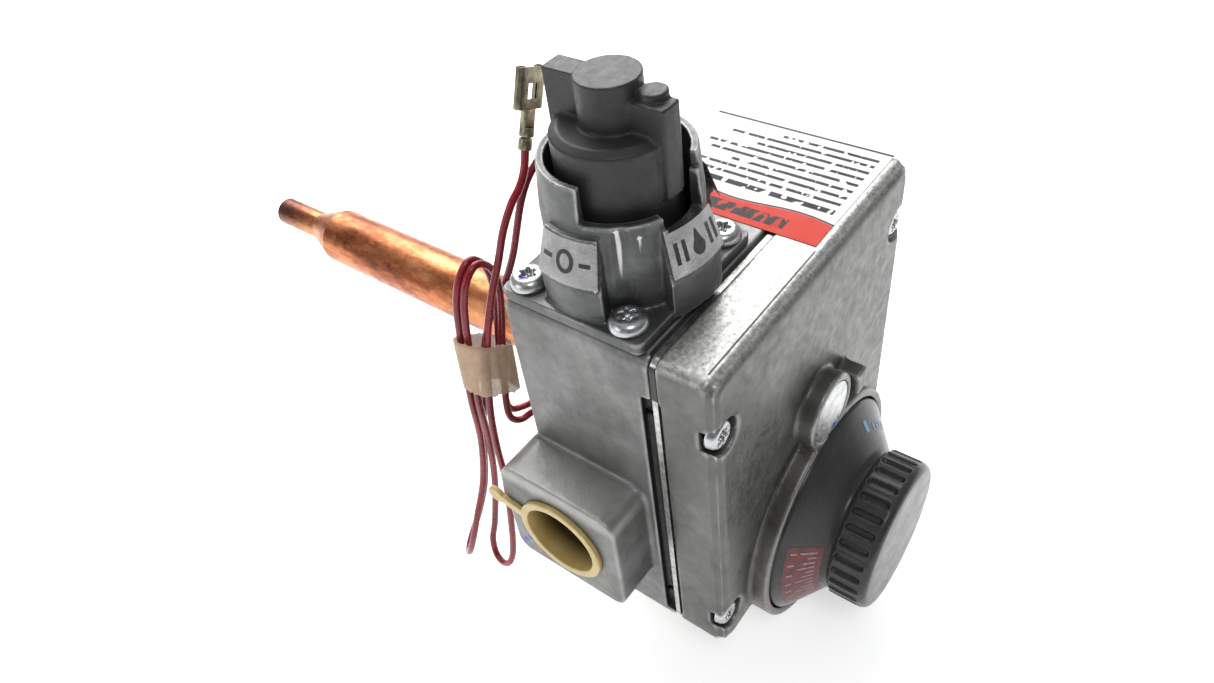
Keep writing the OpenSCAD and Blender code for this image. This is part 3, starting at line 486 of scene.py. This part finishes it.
body_metal = cast_finish("die_cast", (0.105, 0.107, 0.10), (0.16, 0.163, 0.155),
                         (0.24, 0.243, 0.235), (0.14, 0.155, 0.155), 0.44)
cover_metal = cast_finish("cover_cast", (0.082, 0.081, 0.074), (0.118, 0.117, 0.108),
                          (0.17, 0.169, 0.158), (0.10, 0.099, 0.090), 0.40, 0.045)
turret_metal = cast_finish("turret_cast", (0.055, 0.057, 0.055), (0.088, 0.09, 0.088),
                           (0.15, 0.152, 0.15), (0.07, 0.077, 0.077), 0.40)


def near(finish, spot, reach):
    """1 within reach millimetres of a spot, with a brushed edge."""
    soft, ragged_by = 0.6, 1.2
    away = finish.node("ShaderNodeVectorMath", operation="DISTANCE")
    finish.link(finish.place, away.inputs[0])
    away.inputs[1].default_value = [c * mm for c in spot]
    ragged = finish.sum(away.outputs["Value"], finish.noise(1.2, 3), ragged_by * mm)
    return finish.faded(ragged, reach - soft, reach)


def dabbed(finish, base, colour, *spots):
    """Dabs of inspector's paint over a finish's colour."""
    for spot, reach in spots:
        base = finish.mixed(near(finish, spot, reach), base, colour)
    return base


inlet_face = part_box("inlet_boss")[0][0] / mm
# The slot in the seam is painted near black: painted shade in the recess.
slot_painted_shade = body_metal.inside((-39.95, -37.6), (-34.5, -30.7), (-30.6, 46.6), 0.2)
# The boss's top is painted paler: painted light from the lamps above.
boss_top_painted_light = body_metal.inside((-60, -41), (-40, 5), (12.2, 30), 1.2)
boss_painted_light_colour = body_metal.mixed(0.65, body_metal.base, (0.42, 0.42, 0.40))
boss_painted_light_tone = body_metal.mixed(boss_top_painted_light, body_metal.base, boss_painted_light_colour)
body_tone = body_metal.mixed(slot_painted_shade, boss_painted_light_tone, (0.012, 0.012, 0.012))
blue_dabs = [((inlet_face, 0.4, -12.6), 1.7), ((inlet_face, -0.9, -11.0), 1.7),
             ((inlet_face, -2.4, -9.2), 1.6)]
body_metal.colour(dabbed(body_metal, body_tone, (0.03, 0.08, 0.30), *blue_dabs))
dial_axis_x, dial_axis_z = 1.5, -20.7
ring_place = cover_metal.node("ShaderNodeVectorMath", operation="MULTIPLY")
cover_metal.link(cover_metal.place, ring_place.inputs[0])
ring_place.inputs[1].default_value = (1, 0, 1)
ring_away = cover_metal.node("ShaderNodeVectorMath", operation="DISTANCE")
cover_metal.link(ring_place.outputs["Vector"], ring_away.inputs[0])
ring_away.inputs[1].default_value = (dial_axis_x * mm, 0, dial_axis_z * mm)
browned = cover_metal.faded(ring_away.outputs["Value"], 27.2, 32.0)
cover_tone = cover_metal.mixed(browned, cover_metal.base,
                               cover_metal.mixed(0.75, cover_metal.base, (0.10, 0.078, 0.062)))
# The cover's top is painted pale with grit: painted light from above, over the grain of a blasted
# face.
cover_top_painted_light = cover_metal.above(cover_metal.along("Z"), 55.4, 0.9)
grit_and_painted_top_light = cover_metal.ramp(cover_metal.noise(0.9, 5, 0.75), (0.35, (0.26, 0.258, 0.245)),
                        (0.65, (0.66, 0.655, 0.625)))
cover_tone = cover_metal.mixed(cover_top_painted_light, cover_tone, grit_and_painted_top_light)
# A line across the cover's top is painted dark: painted shade in a groove.
top_groove_painted_shade = cover_metal.inside((-37.2, 1.6), (-45.75, -45.3), (55.9, 57), 0.1)
cover_metal.colour(cover_metal.mixed(top_groove_painted_shade, cover_tone, (0.04, 0.04, 0.038)))


def settled(thing):
    """The piece's mesh with its modifiers worked in."""
    bpy.context.view_layer.update()
    worked = thing.evaluated_get(bpy.context.evaluated_depsgraph_get())
    mesh = bpy.data.meshes.new_from_object(worked)
    unsettled = thing.data
    thing.modifiers.clear()
    thing.data = mesh
    if unsettled.users == 0:
        bpy.data.meshes.remove(unsettled)
    return thing


def eased(name, nodes, finish, body, grain, passes, root=0.0):
    """CAD nodes' shape with its corners and hollows rounded off, as a casting or moulding has them.
    Each node after the first runs root millimetres on into the first, so that they are one piece.
    Grain is the mesh's fineness in millimetres, and passes is how often it is smoothed."""
    shape = bmesh.new()
    for node in nodes:
        before = len(shape.verts)
        shape.from_mesh(frame["nodes"][node].data)
        shape.verts.ensure_lookup_table()
        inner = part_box(node)[1][0] - 0.01 * mm
        if node != nodes[0]:
            for vert in shape.verts[before:]:
                if vert.co.x > inner:
                    vert.co.x += root * mm
    mesh = bpy.data.meshes.new(name)
    shape.to_mesh(mesh)
    shape.free()
    thing = bpy.data.objects.new(name, mesh)
    scene.collection.objects.link(thing)
    grid = thing.modifiers.new("grid", "REMESH")
    grid.mode = "VOXEL"
    grid.voxel_size = grain * mm
    grid.use_smooth_shade = True
    ease = thing.modifiers.new("ease", "SMOOTH")
    ease.factor = 0.5
    ease.iterations = passes
    fewer = thing.modifiers.new("fewer", "DECIMATE")
    fewer.ratio = 0.35
    settled(thing)
    for polygon in thing.data.polygons:
        polygon.use_smooth = True
    paint(thing, finish)
    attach(thing, body)
    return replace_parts(thing, *nodes)


eased("back_casting", ["valve_body", "inlet_boss"], body_metal, "valve", 0.45, 5,
      root=1)
eased("cover_casting", ["front_cover"], cover_metal, "valve", 0.42, 9)
eased("turret_casting", ["bonnet"], turret_metal, "valve", 0.32, 3)

# --- Pads: three faces of the turret's crown, ground bright, each with a mark for the knob's stops.
# The marks are printed in black: a ring for closed, a flame between ticks for pilot, a bar for open.
turret_x, turret_y = -20.5, -17.0
pad_low, pad_high = (19.5, 67.1), (16.6, 75.9)
pad_slope = math.hypot(pad_low[0] - pad_high[0], pad_high[1] - pad_low[1])
pad_lean = math.atan2(pad_low[0] - pad_high[0], pad_high[1] - pad_low[1])
pad_angles = {"off": 181, "pilot": 263, "on": 345}


def on_pad(angle, u, v, proud):
    """A point on a pad: u across and v up from its middle, standing proud of it, in millimetres."""
    t = 0.5 + v / pad_slope
    r = pad_low[0] + (pad_high[0] - pad_low[0]) * t + proud * math.cos(pad_lean)
    z = pad_low[1] + (pad_high[1] - pad_low[1]) * t + proud * math.sin(pad_lean)
    turn = math.radians(angle) + u / 18.0
    return (turret_x + r * math.cos(turn), turret_y + r * math.sin(turn), z)


def pad_patch(angle, outline):
    """A face of the crown between curved sides: the outline gives (height, left, right)."""
    verts, steps, proud = [], 14, 0.1
    for v, left, right in outline:
        verts += [on_pad(angle, left + (right - left) * i / steps, v, proud)
                  for i in range(steps + 1)]
    return verts, grid_faces(steps + 1, len(outline))


pad_metal = cast_finish("pad_ground", (0.20, 0.20, 0.195), (0.33, 0.33, 0.32), (0.52, 0.52, 0.51),
                        (0.27, 0.28, 0.28), 0.34, 0.07)
pad_face = [(-4.3, -5.9, 5.9), (-3.9, -6.3, 6.3), (0, -6.35, 6.35), (3.9, -6.4, 6.4),
            (4.3, -6.0, 6.0)]
for pad, pad_angle in pad_angles.items():
    ground = new_mesh(pad + "_pad", *pad_patch(pad_angle, pad_face))
    paint(ground, pad_metal)
    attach(ground, "valve")

pad_ink = Finish("pad_ink", (0.012, 0.012, 0.013), 0.5)
pad_ink.colour(pad_ink.ramp(pad_ink.noise(0.6, 3), (0.3, 0.008), (0.75, 0.035)))
pad_ink.roughness(pad_ink.ramp(pad_ink.noise(0.8, 3), (0.3, 0.4), (0.75, 0.6)))


def ribbon_ring(half_w, half_h, line):
    """A printed ring, as points across and up with their faces."""
    points, steps = [], 28
    for side in (0, line):
        for k in range(steps):
            a = k * math.tau / steps
            points.append(((half_w - side) * math.cos(a), (half_h - side) * math.sin(a)))
    return points, [(k, (k + 1) % steps, steps + (k + 1) % steps, steps + k) for k in range(steps)]


def bar(u, v, wide, high):
    """A printed bar, cut across every half millimetre so that it follows the pad."""
    n = max(2, round(wide / 0.5))
    points = [(u - wide / 2 + wide * i / n, v + s * high / 2)
              for s in (-1, 1) for i in range(n + 1)]
    return points, grid_faces(n + 1, 2)


def flame(high, wide):
    """A printed flame: one pointed drop."""
    points, steps = [(0, 0)], 24
    for k in range(steps):
        a = math.tau * k / steps
        rise = max(0.0, math.sin(a))
        points.append((wide * math.cos(a) * (1 - 0.35 * rise),
                       high * (math.sin(a) * (1 + 0.9 * rise ** 6) - 0.3)))
    return points, [(0, k + 1, (k + 1) % steps + 1) for k in range(steps)]


def print_on_pad(pad, marks):
    """One pad's printed marks, as one piece."""
    parts = [([on_pad(pad_angles[pad], u, v, 0.16) for u, v in points], faces)
             for points, faces in marks]
    mark = new_mesh(pad + "_mark", *join_faces(parts))
    paint(mark, pad_ink)
    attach(mark, "valve")


print_on_pad("off", [ribbon_ring(1.9, 2.3, 0.8), bar(-4.1, 0, 2.2, 0.8), bar(4.1, 0, 2.2, 0.8)])
print_on_pad("pilot", [flame(1.8, 1.5)] + [bar(u, 0, 0.8, 4.2) for u in (-4.9, -3.2, 3.2, 4.9)])
print_on_pad("on", [bar(0, 0, 0.95, 4.4), bar(-3.8, 0, 2.2, 0.8), bar(3.8, 0, 2.2, 0.8)])

# --- Screws: zinc-plated pan heads with six-lobed recesses, thread-forming, driven into the castings.
# Four hold the turret down on its gasket, and four hold the cover by its corners' counterbores.
screw_zinc = Finish("screw_zinc", (0.5, 0.51, 0.51), 0.3, 0.95)
screw_tone = screw_zinc.ramp(screw_zinc.noise(1.4, 4), (0.3, (0.42, 0.43, 0.44)),
                             (0.7, (0.56, 0.57, 0.57)))
screw_zinc.roughness(screw_zinc.ramp(screw_zinc.noise(0.9, 3), (0.3, 0.2), (0.75, 0.42)))
screw_zinc.bump(screw_zinc.noise(0.9, 3), 0.012)
purple_mark = [((-37.6, -4.2, 61.2), 1.9), ((-36.4, -6.2, 61.0), 1.3)]
screw_zinc.colour(dabbed(screw_zinc, screw_tone, (0.06, 0.02, 0.30), *purple_mark))


def screw_shape(head_r, head_h, shank, turn):
    """A screw standing up +Z, with its head's underside at z = 0."""
    steps = 36
    shank_r, side, flat_r = 1.55, 0.5, 2.2
    rings = [(shank_r, -shank), (shank_r, -0.2), (head_r - 0.35, -0.02), (head_r, 0.15),
             (head_r, side)]
    for k in range(1, 8):
        a = math.radians(90 * k / 8)
        rings.append((head_r - 0.05 - (head_r - flat_r) * (1 - math.cos(a)),
                      side + (head_h - side) * math.sin(a)))
    verts = []
    for r, z in rings:
        verts += [(r * math.cos(math.tau * i / steps), r * math.sin(math.tau * i / steps), z)
                  for i in range(steps)]
    lobe_r, lobe_wave = 1.45, 0.42
    for reach, z in ((0.25, head_h), (0.05, head_h - 0.12), (0, head_h - 0.5),
                     (-0.1, head_h - 1.5)):
        for i in range(steps):
            a = math.tau * i / steps
            r = lobe_r + reach + lobe_wave * math.cos(6 * (a + turn))
            verts.append((r * math.cos(a), r * math.sin(a), z))
    verts.append((0, 0, head_h - 1.7))
    loops = len(verts) // steps
    faces = ring_faces(steps, loops)
    last = (loops - 1) * steps
    faces += [(last + i, last + (i + 1) % steps, len(verts) - 1) for i in range(steps)]
    faces.append(tuple(reversed(range(steps))))
    return verts, faces


def screw_set(name, node, places, axis, head_r, head_h, shank):
    """Like screws at several places, as one piece that stands for their CAD node."""
    up = Vector((0, 0, 1)).rotation_difference(Vector(axis))
    parts = []
    for k, at in enumerate(places):
        verts, faces = screw_shape(head_r, head_h, shank, 0.4 + 0.9 * k)
        parts.append(([tuple(Vector(at) + up @ Vector(v)) for v in verts], faces))
    thing = new_mesh(name, *join_faces(parts))
    paint(thing, screw_zinc)
    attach(thing, "valve")
    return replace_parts(thing, node)


foot_thick, bore_deep = 2.4, 8.6
foot_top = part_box("bonnet_gasket")[1][2] / mm + foot_thick
bore_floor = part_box("front_cover")[0][1] / mm + bore_deep
turret_places = [(-36.05, -4.2, foot_top), (-36.05, -28.1, foot_top),
                 (-5.95, -29.1, foot_top), (-5.95, -4.2, foot_top)]
cover_places = [(x, bore_floor, z) for x in (-36.65, 36.65) for z in (41.0, -22.8)]
screw_set("turret_screws", "bonnet_screws", turret_places, (0, 0, 1), 3.9, 2.4, 6.5)
screw_set("cover_corner_screws", "cover_screws", cover_places, (0, -1, 0), 3.4, 2.3, 18)

# --- Gas cock's knob: black thermoplastic, moulded in one with its hub, a rib down its skirt,
# and a bar for a thumb and finger.
knob_plastic = Finish("black_plastic", (0.028, 0.028, 0.029), 0.42)
knob_plastic.colour(knob_plastic.ramp(knob_plastic.noise(6, 4), (0.3, 0.022), (0.75, 0.036)))
knob_plastic.roughness(knob_plastic.ramp(knob_plastic.noise(1.2, 4), (0.3, 0.36), (0.75, 0.54)))
knob_plastic.shader.inputs["Specular IOR Level"].default_value = 0.35
knob_grain = knob_plastic.sum(knob_plastic.noise(0.35, 3), knob_plastic.noise(2.5, 2), 0.7)
knob_plastic.bump(knob_grain, 0.03)
eased("cock_knob", ["gas_cock_knob"], knob_plastic, "knob", 0.28, 2)

# --- Temperature dial: black thermoplastic, moulded as a cone with a fluted grip and a glossy face.
# A red band, pale ticks and blue marks are printed round its cone.
dial_rim, dial_neck, dial_fluting = 28.3, 17.9, 18.9
dial_back, cone_high, grip_low, grip_high, grip_end = -50.2, -61.6, -62.8, -70.2, -72.0
cone_r, cone_low = 27.9, -53.6
flutes, flute_half, flute_depth = 30, 0.78, 1.1
flute_low, flute_high = -63.8, -69.2
lip_high, lip_wide = 0.14, 0.24
dial_profile = [(26.0, dial_back), (28.1, dial_back), (dial_rim, dial_back - 0.2),
                (dial_rim, -53.2), (cone_r, cone_low)]
dial_profile += [(cone_r + (dial_neck - cone_r) * t / 6, cone_low + (cone_high - cone_low) * t / 6)
                 for t in range(1, 7)]
dial_profile += [(18.1, -62.0), (18.5, -62.4), (dial_fluting, grip_low)]
dial_profile += [(dial_fluting, grip_low + (grip_high - grip_low) * t / 24) for t in range(1, 25)]
dial_profile += [(dial_fluting - 1.9 * (1 - math.cos(math.radians(a))),
                  grip_high + (grip_end - grip_high) * math.sin(math.radians(a)))
                 for a in (15, 30, 45, 60, 75, 90)]
dial_profile += [(14, grip_end), (9, grip_end), (4, grip_end)]


def flute_cut(turn, y):
    """How deep a flute cuts here: a slot, round at both ends, with a raised lip."""
    pitch = math.tau / flutes
    across = abs((turn + pitch / 2) % pitch - pitch / 2) * dial_fluting
    along = max(0.0, y - flute_low, flute_high - y)
    away = math.hypot(across, along)
    inside = min(1.0, max(0.0, (flute_half + 0.18 - away) / 0.36))
    lip = lip_high * math.exp(-((away - flute_half - 0.32) / lip_wide) ** 2)
    return flute_depth * inside - lip


dial_steps = flutes * 14
dial_verts = []
for r, y in dial_profile:
    for i in range(dial_steps):
        turn = math.tau * i / dial_steps
        reach = r - (flute_cut(turn, y) if r > 15 else 0)
        dial_verts.append((dial_axis_x + reach * math.cos(turn), y,
                           dial_axis_z + reach * math.sin(turn)))
dial_faces = ring_faces(dial_steps, len(dial_profile))
dial_faces.append(tuple(range(len(dial_verts) - dial_steps, len(dial_verts))))
dial_faces.append(tuple(reversed(range(dial_steps))))
dial_plastic = Finish("dial_plastic", (0.03, 0.03, 0.031), 0.30)
dial_plastic.colour(dial_plastic.ramp(dial_plastic.noise(7, 4), (0.3, 0.036), (0.75, 0.056)))
dial_plastic.roughness(dial_plastic.ramp(dial_plastic.noise(6, 4), (0.3, 0.22), (0.75, 0.34)))
dial_plastic.bump(dial_plastic.noise(2.5, 2), 0.012)
dial_plastic.shader.inputs["IOR"].default_value = 1.36
dial_turned = new_mesh("dial_turned", dial_verts, dial_faces)
for polygon in dial_turned.data.polygons:
    polygon.use_smooth = len(polygon.vertices) < 5
paint(dial_turned, dial_plastic)
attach(dial_turned, "dial")
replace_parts(dial_turned, "thermostat_dial")


def on_cone(angle, r, proud):
    """A point standing proud of the dial's cone, at an angle seen from the front."""
    y = cone_low + (cone_r - r) / (cone_r - dial_neck) * (cone_high - cone_low) - proud
    a = math.radians(angle)
    return (dial_axis_x + r * math.cos(a), y, dial_axis_z + r * math.sin(a))


def print_on_cone(a0, a1, r0, r1, proud=0.1):
    """A printed patch between two angles and two radii."""
    columns = max(2, round(abs(a1 - a0) / 2)) + 1
    verts = [on_cone(a0 + (a1 - a0) * i / (columns - 1), r, proud)
             for r in (r0, (r0 + r1) / 2, r1) for i in range(columns)]
    return verts, grid_faces(columns, 3)


def dial_print(name, finish, parts):
    """Patches in one ink, as one piece that turns with the dial."""
    mark = new_mesh(name, *join_faces(parts))
    paint(mark, finish)
    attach(mark, "dial")


dial_red = Finish("dial_red", (0.32, 0.02, 0.03), 0.4)
dial_red.colour(dial_red.ramp(dial_red.noise(2, 4), (0.35, (0.07, 0.012, 0.016)),
                              (0.6, (0.17, 0.018, 0.024))))
dial_pale = Finish("dial_pale", (0.55, 0.42, 0.42), 0.45)
dial_pale.colour(dial_pale.ramp(dial_pale.noise(0.9, 3), (0.3, (0.26, 0.16, 0.17)),
                                (0.7, (0.44, 0.32, 0.33))))
dial_blue = Finish("dial_blue", (0.18, 0.42, 0.75), 0.4)
dial_blue.colour(dial_blue.ramp(dial_blue.noise(0.9, 3), (0.3, (0.10, 0.28, 0.60)),
                                (0.7, (0.25, 0.52, 0.85))))
dial_print("dial_band", dial_red, [print_on_cone(153, 209, 19.2, 26.6, 0.06)])
ticks = []
for k, angle in enumerate(range(157, 207, 4)):
    reach = (3.4, 1.6, 2.4)[k % 3]
    ticks.append(print_on_cone(angle, angle + 1.2, 20.4, 20.4 + reach))
    if k % 2 == 0:
        ticks.append(print_on_cone(angle, angle + 1.2, 24.6, 25.8))
dial_print("dial_ticks", dial_pale, ticks)
dots = [print_on_cone(angle, angle + 1.4, 22.6, 24.0) for angle in (34, 38, 44, 50, 56)]
dots += [print_on_cone(64.2, 67.8, 23.0, 25.2)]
dial_print("dial_dots", dial_blue, dots)

# --- Small parts: zinc-plated steel, turned brass, moulded rubber seals and gaskets cut from fibre.
# Their shapes are the CAD's own. Blue inspector's paint is dabbed on the regulator's cap.
steel = Finish("zinc_steel", (0.55, 0.56, 0.56), 0.34, 0.95)
steel_tone = steel.ramp(steel.noise(2.5, 4), (0.3, (0.42, 0.43, 0.42)), (0.7, (0.66, 0.67, 0.66)))
steel.colour(dabbed(steel, steel_tone, (0.03, 0.07, 0.35), ((1.2, -52.0, 9.6), 2.4),
                    ((2.8, -52.0, 10.6), 2.0)))
steel.roughness(steel.ramp(steel.noise(0.9, 3), (0.3, 0.24), (0.75, 0.46)))
steel.bump(steel.noise(0.4, 3), 0.02)
brass_metal = Finish("brass", (0.55, 0.40, 0.16), 0.33, 0.95)
brass_metal.colour(brass_metal.ramp(brass_metal.noise(3, 4), (0.3, (0.40, 0.29, 0.12)),
                                    (0.7, (0.62, 0.47, 0.20))))
brass_metal.roughness(brass_metal.ramp(brass_metal.noise(1, 3), (0.3, 0.24), (0.75, 0.44)))
brass_metal.bump(brass_metal.noise(0.5, 3), 0.02)
rubber_black = Finish("rubber", (0.03, 0.03, 0.029), 0.7)
rubber_black.colour(rubber_black.ramp(rubber_black.noise(2, 3), (0.3, 0.022), (0.7, 0.045)))
rubber_black.bump(rubber_black.noise(0.4, 3), 0.04)
fibre = Finish("fibre_gasket", (0.20, 0.18, 0.14), 0.85)
fibre.colour(fibre.ramp(fibre.noise(0.8, 4), (0.3, (0.12, 0.11, 0.09)), (0.7, (0.26, 0.24, 0.19))))
fibre.bump(fibre.noise(0.3, 3), 0.04)

# --- Sensor tube: copper, drawn down at its end to a stub that is swaged shut and darkened by heat.
# It is soldered into the brass shank, and streaked brown along its length from handling.
copper_metal = Finish("copper", (0.55, 0.22, 0.10), 0.34, 0.9)
streak = copper_metal.noise(7, 6, 0.7, copper_metal.stretched((1, 0.35, 1)))
copper_base = copper_metal.ramp(streak, (0.30, (0.14, 0.045, 0.02)), (0.45, (0.36, 0.11, 0.045)),
                                (0.56, (0.58, 0.22, 0.09)), (0.72, (0.74, 0.36, 0.18)))
tube_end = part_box("sensor_tube")[1][1] / mm
stub_from, fades_over = tube_end - 12, 7
burnt = copper_metal.above(copper_metal.along("Y"), stub_from, fades_over)
tip_burn = copper_metal.math("MULTIPLY", burnt, 0.75)
copper_metal.colour(copper_metal.mixed(tip_burn, copper_base, (0.10, 0.045, 0.035)))
copper_metal.roughness(copper_metal.ramp(copper_metal.noise(2, 4), (0.3, 0.25), (0.75, 0.5)))
copper_metal.bump(copper_metal.noise(1.2, 3), 0.03)

# --- Shipping plug: soft yellow polyethylene, moulded as a cup with a pull tab, pressed in the inlet.
# It keeps dirt out until the supply pipe is fitted, and its inside is painted dark olive as painted
# shade.
yellow = Finish("yellow_plastic", (0.80, 0.62, 0.26), 0.36)
yellow_tone = yellow.ramp(yellow.noise(6, 3), (0.3, (0.50, 0.36, 0.13)), (0.7, (0.64, 0.49, 0.20)))
# The inside of the cup is painted dark: painted shade.
cup_inside_painted_shade = yellow.above(yellow.along("X"), inlet_face + 2.6, 2.4)
yellow.colour(yellow.mixed(cup_inside_painted_shade, yellow_tone, (0.09, 0.06, 0.022)))
yellow.bump(yellow.noise(1.5, 3), 0.03)
yellow.shader.inputs["Subsurface Weight"].default_value = 0.3
yellow.shader.inputs["Subsurface Radius"].default_value = (0.004, 0.0025, 0.001)
eased("shipping_plug", ["inlet_plug"], yellow, "plug", 0.2, 2)

# --- Tape: creped paper tape, torn off by hand and wound once round the coiled leads.
# It is thin enough for the red of the strands to show through.
tape_paper = Finish("masking_tape", (0.74, 0.58, 0.38), 0.7)
tape_paper.colour(tape_paper.ramp(tape_paper.noise(3, 5), (0.3, (0.56, 0.38, 0.26)),
                                  (0.7, (0.68, 0.50, 0.35))))
tape_paper.bump(tape_paper.noise(0.5, 3), 0.05)
tape_paper.shader.inputs["Alpha"].default_value = 0.68


def tape_wrap():
    """One turn of tape round the six strands, pulled in between them, with torn slanting edges."""
    at = Vector((-37.4, 14.5, 28.0))
    lean = Matrix.Rotation(math.radians(5), 3, "Y") @ Matrix.Rotation(math.radians(5), 3, "Z")
    half_x, half_y, corner = 6.6, 4.4, 3.4
    loop = []
    for cx, cy, a0 in ((1, 1, 0), (-1, 1, 90), (-1, -1, 180), (1, -1, 270)):
        for k in range(7):
            a = math.radians(a0 + 15 * k)
            loop.append((cx * (half_x - corner) + corner * math.cos(a),
                         cy * (half_y - corner) + corner * math.sin(a)))
    dense = []
    for (ax, ay), (bx, by) in zip(loop, loop[1:] + loop[:1]):
        n = max(1, round(math.hypot(bx - ax, by - ay) / 0.8))
        dense += [(ax + (bx - ax) * i / n, ay + (by - ay) * i / n) for i in range(n)]
    rng = random.Random(5)
    torn = [[rng.uniform(-0.35, 0.35) for _ in dense] for _ in range(2)]
    rows, half_wide, slant, verts = 12, 7.2, 0.6, []
    for j in range(rows):
        for i, (x, y) in enumerate(dense):
            low_edge = -half_wide - slant * x + torn[0][i]
            high_edge = half_wide - slant * x + torn[1][i]
            z = low_edge + (high_edge - low_edge) * j / (rows - 1)
            pinch = 1 - 0.045 * (1 + math.cos(x * 1.9 + z * 0.15))
            verts.append(tuple(at + lean @ Vector((x, y * pinch, z))))
    return verts, ring_faces(len(dense), rows)


wrap = new_mesh("tape_wrap", *tape_wrap())
thicken(wrap, 0.18)
paint(wrap, tape_paper)
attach(wrap, "valve")
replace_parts(wrap, "lead_tape")

# --- Sticker: white plastic film with its own glue, laid over the tops of the cover and body.
# It is printed with a red band, a wavy black line and ruled bars broken into dashes.
sticker = Finish("label", (0.86, 0.86, 0.85), 0.4)
sticker.roughness(sticker.ramp(sticker.noise(4, 3), (0.3, 0.30), (0.7, 0.45)))
label_x, label_y = sticker.along("X"), sticker.along("Y")
wave_turns, wave_high = 210, 0.8
wave = sticker.math("SINE", sticker.math("MULTIPLY", label_y, wave_turns))
band_x = sticker.math("ADD", label_x, sticker.math("MULTIPLY", wave, wave_high * mm))
dashes = sticker.node("ShaderNodeTexNoise")
dashes.inputs["Scale"].default_value = 1
dashes.inputs["Detail"].default_value = 1
sticker.link(sticker.stretched((330, 560, 1)), dashes.inputs["Vector"])
dash_gap = sticker.ramp(dashes.outputs["Fac"], (0.38, 0), (0.42, 1))
print_tone = sticker.ramp(sticker.noise(10, 2), (0.3, 0.80), (0.7, 0.86))
rows_from = -43.2
rows = [(14.4, 0.85, -6), (17.4, 0.5, -8), (20.0, 0.5, -5), (22.6, 0.5, -14), (25.2, 0.5, -7),
        (27.8, 0.5, -5), (30.4, 0.5, -16), (33.0, 0.5, -8), (35.4, 0.5, -20)]
row_marks = None
for row_x, row_half, row_to in rows:
    mark = sticker.between(label_x, row_x - row_half, row_x + row_half)
    mark = sticker.math("MULTIPLY", mark, sticker.between(label_y, rows_from, row_to))
    row_marks = mark if row_marks is None else sticker.math("MAXIMUM", row_marks, mark)
row_marks = sticker.math("MULTIPLY", row_marks, dash_gap)
print_tone = sticker.mixed(row_marks, print_tone, (0.015, 0.015, 0.017))
print_tone = sticker.mixed(sticker.between(label_x, 38.4, 39.1), print_tone, (0.02, 0.02, 0.02))
print_tone = sticker.mixed(sticker.between(band_x, 10.2, 10.75), print_tone, (0.02, 0.02, 0.02))
print_tone = sticker.mixed(sticker.between(band_x, -5, 10.2), print_tone, (0.60, 0.035, 0.015))
band_bar = sticker.math("MULTIPLY", sticker.between(label_x, 4.6, 8.0),
                        sticker.between(label_y, -36.5, -17))
bar_gap = sticker.ramp(dashes.outputs["Fac"], (0.40, 0.2), (0.46, 1))
band_bar = sticker.math("MULTIPLY", band_bar, bar_gap)
print_tone = sticker.mixed(band_bar, print_tone, (0.03, 0.02, 0.02))
sticker.shader.inputs["Specular IOR Level"].default_value = 0.12
sticker.colour(print_tone)
sticker.bump(sticker.noise(6, 2), 0.05)

# --- Springs: music wire, wound cold. Each sits between its seat and the piece that it pushes, rides with that piece, and keeps its CAD length.
# The sixth, over the gas cock's plug, keeps its length.


def wound_spring(node, body, axis, end):
    """A spring in steel, carried over from the CAD at its own length, that rides with its body.
    End is 0 for the spring's lower end along its axis and 1 for its upper end."""
    thing = bpy.data.objects.new(node + "_wire", frame["nodes"][node].data.copy())
    scene.collection.objects.link(thing)
    paint(thing, steel)
    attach(thing, body)
    near_end, far_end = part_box(node)
    k = axis.index(1)
    anchor = [(a + b) / 2 for a, b in zip(near_end, far_end)]
    anchor[k] = (near_end, far_end)[end][k]
    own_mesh(thing)
    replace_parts(thing, node)


wound_spring("knob_spring", "knob", (0, 0, 1), 1)
wound_spring("magnet_spring", "armature", (0, 0, 1), 1)
wound_spring("range_spring", "lever", (0, 1, 0), 1)
wound_spring("main_valve_spring", "main_valve", (0, 0, 1), 0)
wound_spring("regulator_spring", "regulator", (0, 1, 0), 1)

# --- Divider plate: zinc-plated steel, blanked, and clamped in the seam between body and cover.
# Its sheared edge is bare and bright where the slot in the seam shows it, and painted dark elsewhere
# as painted shade between the castings.
plate_steel = Finish("plate_steel", (0.5, 0.51, 0.5), 0.3, 0.95)
plate_tone = plate_steel.ramp(plate_steel.noise(1.2, 5), (0.3, (0.30, 0.30, 0.29)),
                              (0.7, (0.62, 0.62, 0.60)))
seam_x, seam_y = (-42, -39.4), (-40, -30)
# The plate's edge inside the closed seam is painted dark: painted shade between the castings.
seam_painted_shade = plate_steel.math("SUBTRACT", plate_steel.inside(seam_x, seam_y, (-50, 60)),
                               plate_steel.inside(seam_x, seam_y, (-30.4, 46.2)))
plate_steel.colour(plate_steel.mixed(seam_painted_shade, plate_tone, (0.05, 0.05, 0.048)))
plate_steel.bump(plate_steel.noise(0.4, 3), 0.02)

# --- Every part carried over from the CAD takes the finish that its material slot names.
# The divider plate has a finish of its own.
slot_finish = {
    "die_cast": body_metal, "cover_cast": cover_metal, "zinc_steel": steel, "spring_steel": steel,
    "brass": brass_metal, "copper": copper_metal, "fibre_gasket": fibre, "rubber": rubber_black,
    "black_plastic": knob_plastic, "yellow_plastic": yellow, "masking_tape": tape_paper,
    "label": sticker, "terminal_plate": terminal_tin, "red_insulation": red_vinyl,
}
for subpart in frame["record"]["subparts"]:
    paint(frame["nodes"][subpart["node"]], slot_finish[subpart["material_slot"]])
paint(frame["nodes"]["divider_plate"], plate_steel)
